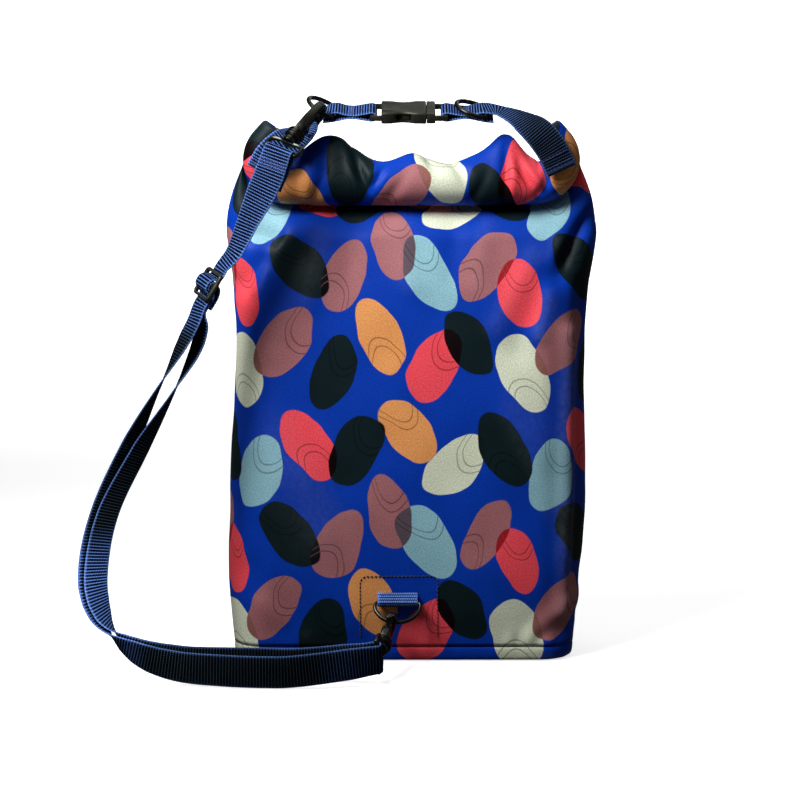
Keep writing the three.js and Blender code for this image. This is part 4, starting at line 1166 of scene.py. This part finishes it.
class Route:
    """The shoulder strap's route, by length along it."""

    def __init__(self):
        points = np.stack([ROUTE[key] for key in "xyz"], -1)
        across = unit(np.stack([ROUTE[key] for key in ("wx", "wy", "wz")], -1))
        ups = []
        for row, name in ((0, "hook_top"), (-1, "hook_base")):
            origin, _, _, up = hook_frame(name)
            points[row] = origin + up * EYE_BAR
            ups.append((row, up))
        self.points = points
        self.last = len(points) - 1
        for row, up in ups:
            way = unit(np.cross(up, self.tangent(np.array([0 if row == 0 else self.last], float))[0]))
            across[row] = way if way @ across[row] > 0 else -way
        self.ways = across
        self.fine = np.linspace(0, self.last, 4000)
        steps = np.linalg.norm(np.diff(through(points, self.fine), axis=0), axis=1)
        self.lengths = np.concatenate([[0], np.cumsum(steps)])
        self.length = self.lengths[-1]

    def tangent(self, share):
        low = np.clip(share - 1e-3, 0, self.last)
        high = np.clip(share + 1e-3, 0, self.last)
        return unit(through(self.points, high) - through(self.points, low))

    def at(self, length):
        """Place, ahead, across and out at a length, and the row of the route there."""
        share = np.interp([length], self.lengths, self.fine)
        ahead = self.tangent(share)
        across = square_to(through(self.ways, share), ahead)
        return through(self.points, share)[0], ahead[0], across[0], np.cross(ahead, across)[0], share[0]

    def length_of(self, row):
        return float(np.interp(row, self.fine, self.lengths))


def shoulder_places():
    """The one length of webbing: sewn round the top hook, through the slider, round the lower hook and
    back to the slider's middle bar."""
    route = Route()
    wrap = HOOK_ROD + GAP + WEB_THICK / 2 + ROOM["hook"]
    step = 13
    slider_at = route.length_of(SLIDER_ROW)
    slider = route.at(slider_at)

    def strap(length, out):
        p, _, across, outward_way, _ = route.at(length)
        p = p + outward_way * out
        p[2] = max(p[2], STRAP_WIDTH / 2 * abs(across[2]) + WEB_THICK / 2 + 0.1)
        return p, across

    def in_slider(rows):
        return [
            (slider[0] + slider[1] * along + slider[3] * out, slider[2])
            for along, out in zip(rows["along"], rows["out"])
        ]

    first_out = SLIDER_WEAVE["out"][0]
    places = [strap(28, 0.5 - wrap), strap(16, 0.5 - wrap), strap(7, -wrap)]
    start = route.at(0)
    places += half_turn(start[0], start[2], -start[3], -start[1], wrap, 6)
    upper = slider_at + SLIDER_WEAVE["along"][0]
    for length in np.arange(7, upper - 5, step):
        places.append(strap(length, wrap + (first_out - wrap) * length / upper))
    places += in_slider(SLIDER_WEAVE)
    lower = slider_at - SLIDER_WEAVE["along"][0]
    for length in np.arange(lower + step, route.length - 5, step):
        t = (length - lower) / (route.length - lower)
        places.append(strap(length, first_out * (1 - min(6 * t, 1)) + wrap * max(8 * t - 7, 0)))
    end = route.at(route.length)
    places += half_turn(end[0], end[2], end[3], end[1], wrap, 6)
    rest = slider_at + SLIDER_END["along"][0] + 8
    rows = {"row": np.arange(len(ROUTE["x"])), "behind": ROUTE["behind"]}
    for length in np.arange(route.length - 8, rest, -step):
        t = (route.length - length) / (route.length - rest)
        least = wrap + (-SLIDER_END["out"][0] - wrap) * t
        behind = float(from_table(rows, "row", route.at(length)[4], "behind"))
        places.append(strap(length, -max(behind, least)))
    return places + in_slider(SLIDER_END)


def add_webbing():
    ways = {
        "shoulder_strap": ("shoulder", shoulder_places(), STRAP_WIDTH, "hung", ["strap_slider", "floor"]),
        "closure_strap_left": ("closure", closure_places(-1), STRAP_WIDTH, "hung", ["bag_cloth"]),
        "closure_strap_right": ("closure", closure_places(1), STRAP_WIDTH, "hung", ["bag_cloth"]),
        "ring_tab": ("tab", tab_places(), TAB_WIDTH, "folded", ["bag_cloth"]),
    }
    webs = {}
    for node, (kind, places, width, held, rests) in ways.items():
        rib = RIBS[kind]
        web = Webbing(places, rib["pitch"] / RIB_SAMPLES)
        name = node.replace("strap", "webbing").replace("ring_tab", "tab_webbing")
        piece = webbing_piece(name, node, web, width, rib)
        width * MM
        webs[node] = web
    return webs


# Hardware, from merged copies of the solids

CAD = {piece["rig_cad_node"]: piece for piece in bpy.data.objects if "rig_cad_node" in piece}
HARDWARE_BODY = {
    "buckle_socket": "bag",
    "buckle_plug": "bag",
    "strap_slider": "bag",
    "hook_top_swivel": "bag",
    "hook_base_swivel": "bag",
    "hook_top_body": "hook_top",
    "hook_top_gate": "hook_top_gate",
    "hook_base_body": "hook_base",
    "hook_base_gate": "hook_base_gate",
}
RING_BODY = {"ring_left": "bag", "ring_right": "ring_right", "ring_base": "bag"}
# Corners closer than this are joined.
JOIN_WITHIN = 0.005
# Faces that turn less than the first are one flat face, edges past the second are rounded and faces
# that turn less than the third are shaded as one. Triangles that turn less than the last become quads.
FLAT_ANGLE, SHARP_ANGLE, SMOOTH_ANGLE, QUAD_ANGLE = (math.radians(a) for a in (1.5, 38, 35, 70))
# How far a ring's edges move out before it is rounded, as a share of its rod.
ROD_SWELL = 0.09


def only(piece):
    bpy.ops.object.select_all(action="DESELECT")
    piece.select_set(True)
    bpy.context.view_layer.objects.active = piece


@contextlib.contextmanager
def editing(piece):
    """A piece in edit mode with its whole mesh selected."""
    only(piece)
    bpy.ops.object.mode_set(mode="EDIT")
    bpy.ops.mesh.select_all(action="SELECT")
    yield
    bpy.ops.object.mode_set(mode="OBJECT")


def merged_copy(node):
    """A copy of a solid in its plastic, with its triangles joined at their corners."""
    piece = bpy.data.objects.new(f"{node}_moulding", CAD[node].data.copy())
    bpy.context.scene.collection.objects.link(piece)
    piece.data.materials.clear()
    satin = node.startswith("buckle") or node == "strap_slider"
    piece.data.materials.append(SATIN_PLASTIC if satin else GLOSS_PLASTIC)
    with editing(piece):
        bpy.ops.mesh.remove_doubles(threshold=JOIN_WITHIN * MM)
    return piece


def apply_modifier(piece, kind, **settings):
    modifier = piece.modifiers.new(kind.lower(), kind)
    for key, value in settings.items():
        setattr(modifier, key, value)
    only(piece)
    bpy.ops.object.modifier_apply(modifier=modifier.name)


def eased(piece, width):
    """Makes a moulding's flat faces whole and rounds its sharp edges."""
    with editing(piece):
        bpy.ops.mesh.dissolve_limited(angle_limit=FLAT_ANGLE)
    apply_modifier(
        piece,
        "BEVEL",
        width=width * MM,
        segments=2,
        limit_method="ANGLE",
        angle_limit=SHARP_ANGLE,
        use_clamp_overlap=True,
    )
    bpy.ops.object.shade_smooth_by_angle(angle=SMOOTH_ANGLE)


def rounded_rod(piece, rod):
    """A six-sided ring made round. Its edges first move out, because rounding draws them in."""
    with editing(piece):
        bpy.ops.mesh.tris_convert_to_quads(face_threshold=QUAD_ANGLE, shape_threshold=QUAD_ANGLE)
        bpy.ops.transform.shrink_fatten(value=ROD_SWELL * rod * MM)
    apply_modifier(piece, "SUBSURF", levels=2, render_levels=2)
    bpy.ops.object.shade_smooth()


BUCKLE_X = 11.5
SLOT = {"x": (-34.0, -25.5), "y": 9.4, "half": 0.8, "top": 4.5, "deep": 0.9, "ease": 0.2}
BAND = {"radius": 7.2, "tall": 1.5, "ease": 0.45, "sides": 40, "places": (-5.9, -3.4, -0.9)}
TOOTH = {"x": 6.3, "z": 17.6, "in": 0.9, "out": 0.45, "half_width": 1.7, "half_tall": 0.42, "ease": 0.18}
TEETH, TOOTH_STEP = 6, (-0.145, 0, 1.45)
EASE = {"strap_slider": 1.1, "buckle_socket": 0.7, "buckle_plug": 0.6}
PLAIN_EASE = 0.4


def frame_matrix(origin, x, y, z):
    turn = Matrix([Vector(axis) for axis in (x, y, z)]).transposed().to_4x4()
    return Matrix.Translation(Vector(origin * MM)) @ turn


def bevelled(piece, ease, segments):
    """Eases all the edges of a new primitive, and gives it the hooks' finish."""
    bpy.ops.object.transform_apply(location=True, scale=True)
    with editing(piece):
        bpy.ops.mesh.bevel(offset=ease * MM, segments=segments, affect="EDGES")
    piece.data.materials.append(GLOSS_PLASTIC)
    return piece


def bevelled_block(low, high, ease):
    """A block between two corners in millimetres."""
    bpy.ops.object.select_all(action="DESELECT")
    middle = [(a + b) / 2 * MM for a, b in zip(low, high)]
    bpy.ops.mesh.primitive_cube_add(size=1, location=middle)
    block = bpy.context.active_object
    block.scale = [(b - a) * MM for a, b in zip(low, high)]
    return bevelled(block, ease, 2)


def collar_band():
    """A raised band for a hook's boss, with rounded rims."""
    bpy.ops.object.select_all(action="DESELECT")
    bpy.ops.mesh.primitive_cylinder_add(
        radius=BAND["radius"] * MM, depth=BAND["tall"] * MM, vertices=BAND["sides"]
    )
    band = bevelled(bpy.context.active_object, BAND["ease"], 3)
    bpy.ops.object.shade_smooth_by_angle(angle=SMOOTH_ANGLE)
    return band


def gate_tooth():
    """The lowest of the teeth along a hook's gate, where a thumb pushes."""
    x, z, half = TOOTH["x"], TOOTH["z"], TOOTH["half_width"]
    low = (x - TOOTH["in"], -half, z - TOOTH["half_tall"])
    high = (x + TOOTH["out"], half, z + TOOTH["half_tall"])
    return bevelled_block(low, high, TOOTH["ease"])


def slot_cutter():
    """A block as large as one slot in the buckle's top, on the buckle's middle line."""
    low = (SLOT["x"][0], -SLOT["half"], SLOT["top"] - SLOT["deep"])
    high = (SLOT["x"][1], SLOT["half"], SLOT["top"] + 1)
    return bevelled_block(low, high, SLOT["ease"])


def copies(piece, matrix, moves):
    """Copies of a piece, each with a mesh of its own that is moved in millimetres and then placed."""
    made = []
    for move in moves:
        copy = bpy.data.objects.new(piece.name, piece.data.copy())
        bpy.context.scene.collection.objects.link(copy)
        copy.data.transform(matrix @ Matrix.Translation(Vector(move) * MM))
        copy.data.update()
        made.append(copy)
    return made


def joined_to(piece, extras):
    only(piece)
    for extra in extras:
        extra.select_set(True)
    bpy.ops.object.join()


def buckle_slots(socket, cutter):
    """Two short slots in the socket's top, beside its webbing bar."""
    matrix = frame_matrix(handle_at(BUCKLE_X), X, HANDLE_ACROSS, HANDLE_UP)
    for slot in copies(cutter, matrix, [(0, -SLOT["y"], 0), (0, SLOT["y"], 0)]):
        apply_modifier(socket, "BOOLEAN", operation="DIFFERENCE", object=slot, solver="EXACT")
        bpy.data.objects.remove(slot)


def hook_details(node, piece, band, tooth):
    matrix = frame_matrix(*hook_frame(node.rsplit("_", 1)[0]))
    if node.endswith("body"):
        joined_to(piece, copies(band, matrix, [(0, 0, z) for z in BAND["places"]]))
    if node.endswith("gate"):
        steps = [[i * part for part in TOOTH_STEP] for i in range(TEETH)]
        joined_to(piece, copies(tooth, matrix, steps))


def add_hardware():
    band, tooth, cutter = collar_band(), gate_tooth(), slot_cutter()
    for node, body in {**HARDWARE_BODY, **RING_BODY}.items():
        piece = merged_copy(node)
        if node == "buckle_socket":
            buckle_slots(piece, cutter)
        if node in RING_BODY:
            rounded_rod(piece, RING_ROD)
        else:
            eased(piece, EASE.get(node, PLAIN_EASE))
        if node.startswith("hook"):
            hook_details(node, piece, band, tooth)
        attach(piece, body)
        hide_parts(node)
    for model in (band, tooth, cutter):
        bpy.data.objects.remove(model)


# Stitches

STITCH_SIDES = 6
# The dashed line sewn round the ring tab: half width about its middle, top, foot and corner radius.
TAB_BOX = {"middle": -9.8, "half": 30.7, "top": 70.6, "foot": 20.0, "corner": 5.6}
TAB_STITCH = {"pitch": 3.1, "length": 2.3, "radius": 0.55, "proud": 0.12}
WEB_STITCH = {"count": 14, "sewn_width": 21, "length": 2.2, "radius": 0.3, "proud": 0.05}
# Runs along the webbing where rows of stitches cross it. The last are about the fold's middle.
STRAP_ROWS, CLOSURE_ROWS, FOLD_ROWS = (48, 50.5, 53), (3, 6, 13), (-1.2, 1.2)


def front_of_bag(surface, x, z):
    """The bag's front surface at places across and up it."""
    rows = surface[:BODY_STEPS, : 2 * FACE_COLUMNS - 1]
    depths = np.stack([np.interp(x, row[:, 0], row[:, 1]) for row in rows], -1)
    heights = rows[..., 2].mean(1)
    y = np.array([np.interp(height, heights, depth) for height, depth in zip(z, depths)])
    return np.stack([x, y, z], -1)


def stitch_piece(name, stitches, size, finish):
    """One mesh of short rounded threads. Each has its middle, its direction and its outer side."""
    length, radius = size["length"], size["radius"]
    shares = np.array([-1.0, -0.75, 0.0, 0.75, 1.0])
    girths = np.array([0.35, 0.9, 1.0, 0.9, 0.35]) * radius
    lifts = np.array([-0.9, -0.1, 0.3, -0.1, -0.9]) * radius
    turns = 2 * math.pi * np.arange(STITCH_SIDES) / STITCH_SIDES
    rings = len(shares)
    points, faces = [], []
    for middle, ahead, out in stitches:
        start = len(points)
        side = np.cross(ahead, out)
        for share, girth, lift in zip(shares, girths, lifts):
            centre = middle + ahead * share * length / 2 + out * lift
            points.extend(centre + girth * (math.cos(a) * side + math.sin(a) * out) for a in turns)
        block = grid_faces(rings, STITCH_SIDES, False) + start
        faces.extend(block[:, ::-1].tolist())
        faces.append([start + i for i in range(STITCH_SIDES)])
        last = start + (rings - 1) * STITCH_SIDES
        faces.append([last + i for i in reversed(range(STITCH_SIDES))])
    piece = new_piece(name, points, faces, finish)
    return piece


def tab_box_path():
    """The dashed line's places, up one side, over the top and down the other."""
    box = TAB_BOX
    left, right = box["middle"] - box["half"], box["middle"] + box["half"]
    low, top, r = box["foot"], box["top"], box["corner"]
    quarter = np.linspace(0, math.pi / 2, 8)
    corner_left = [(left + r - r * math.cos(a), top - r + r * math.sin(a)) for a in quarter]
    corner_right = [(right - r + r * math.sin(a), top - r + r * math.cos(a)) for a in quarter]
    return np.array([(left, low)] + corner_left + corner_right + [(right, low)])


def along_path(path, pitch):
    """Middles and directions of dashes along a path of straight runs."""
    steps = np.linalg.norm(np.diff(path, axis=0), axis=1)
    lengths = np.concatenate([[0], np.cumsum(steps)])
    runs = np.arange(pitch / 2, lengths[-1], pitch)

    def at(run):
        return np.stack([np.interp(run, lengths, path[:, k]) for k in range(2)], -1)

    return at(runs), unit(at(runs + 0.4) - at(runs - 0.4))


def add_tab_stitches(surface):
    middles, ways = along_path(tab_box_path(), TAB_STITCH["pitch"])
    here = front_of_bag(surface, *middles.T)
    there = front_of_bag(surface, *(middles + ways * 0.5).T)
    aheads = unit(there - here)
    outs = square_to(np.broadcast_to(-Y, aheads.shape), aheads)
    middles = here + outs * TAB_STITCH["proud"]
    stitches = list(zip(middles, aheads, outs))
    stitch_piece("tab_stitches", stitches, TAB_STITCH, BLACK_THREAD)


def across_rows(web, runs, out_side, zigzag):
    """Rows of stitches across a webbing, on its outer side or its inner side."""
    count = WEB_STITCH["count"]
    proud = out_side * (WEB_THICK / 2 + WEB_STITCH["proud"])
    stitches = []
    for k, run in enumerate(runs):
        for i in range(count):
            offset = ((i + 0.5) / count - 0.5) * WEB_STITCH["sewn_width"]
            middle, ahead, across, out = web.at(run, offset, proud)
            lean = zigzag * (1 if (i + k) % 2 else -1)
            way = unit(across + ahead * lean)
            stitches.append((middle, way, out * out_side))
    return stitches


def run_near(web, x, first, last):
    """The run along a webbing, between two shares of its length, where it passes a place across."""
    inside = (web.run > first * web.length) & (web.run < last * web.length)
    return float(web.run[inside][np.abs(web.line[inside, 0] - x).argmin()])


def add_webbing_stitches(webs):
    strap = webs["shoulder_strap"]
    stitches = across_rows(strap, STRAP_ROWS, 1, 0.9)
    for side, node in ((-1, "closure_strap_left"), (1, "closure_strap_right")):
        web = webs[node]
        seen = -side
        between = 0.55 * RING_X[side] + 0.45 * BUCKLE_BAR_X[side]
        fold = run_near(web, between, 0.2, 0.68)
        stitches += across_rows(web, CLOSURE_ROWS, seen, 0.5)
        stitches += across_rows(web, [fold + run for run in FOLD_ROWS], seen, 0.7)
    stitch_piece("webbing_stitches", stitches, WEB_STITCH, BLUE_THREAD)


# Floor

BACKDROP = {"size": 9, "middle": (0, -1, -0.0004), "tall": 4, "bend": 1.3, "segments": 16}


def pale_floor():
    """A matt pale floor that glows a little, so that it stays pale in shadow."""
    finish = Finish("pale_floor")
    speck = finish.noise(finish.place(), 6, 2)
    return finish.surface(
        base_color=finish.mix(speck, (0.9, 0.9, 0.9, 1), (0.93, 0.93, 0.93, 1)),
        roughness=0.7,
        emission_color=(1, 1, 1, 1),
        emission_strength=0.75,
    )


def add_backdrop():
    """A pale floor that turns up into walls well away from the bag."""
    bpy.ops.object.select_all(action="DESELECT")
    bpy.ops.mesh.primitive_plane_add(size=BACKDROP["size"], location=BACKDROP["middle"])
    backdrop = bpy.context.active_object
    backdrop.name = "floor"
    with editing(backdrop):
        bpy.ops.mesh.extrude_region_move(TRANSFORM_OT_translate={"value": (0, 0, BACKDROP["tall"])})
        bpy.ops.mesh.delete(type="ONLY_FACE")
        bpy.ops.mesh.select_all(action="SELECT")
        bpy.ops.mesh.normals_make_consistent(inside=True)
        bpy.ops.mesh.bevel(
            offset=BACKDROP["bend"], segments=BACKDROP["segments"], profile=0.5, affect="EDGES"
        )
    bpy.ops.object.transform_apply(location=True)
    bpy.ops.object.shade_smooth()
    backdrop.data.materials.append(pale_floor())
    backdrop.visible_diffuse = False
    backdrop.visible_glossy = False


add_camera()
add_studio()
bag_surface = add_bag()
add_base()
webs = add_webbing()
add_hardware()
add_tab_stitches(bag_surface)
add_webbing_stitches(webs)
add_backdrop()
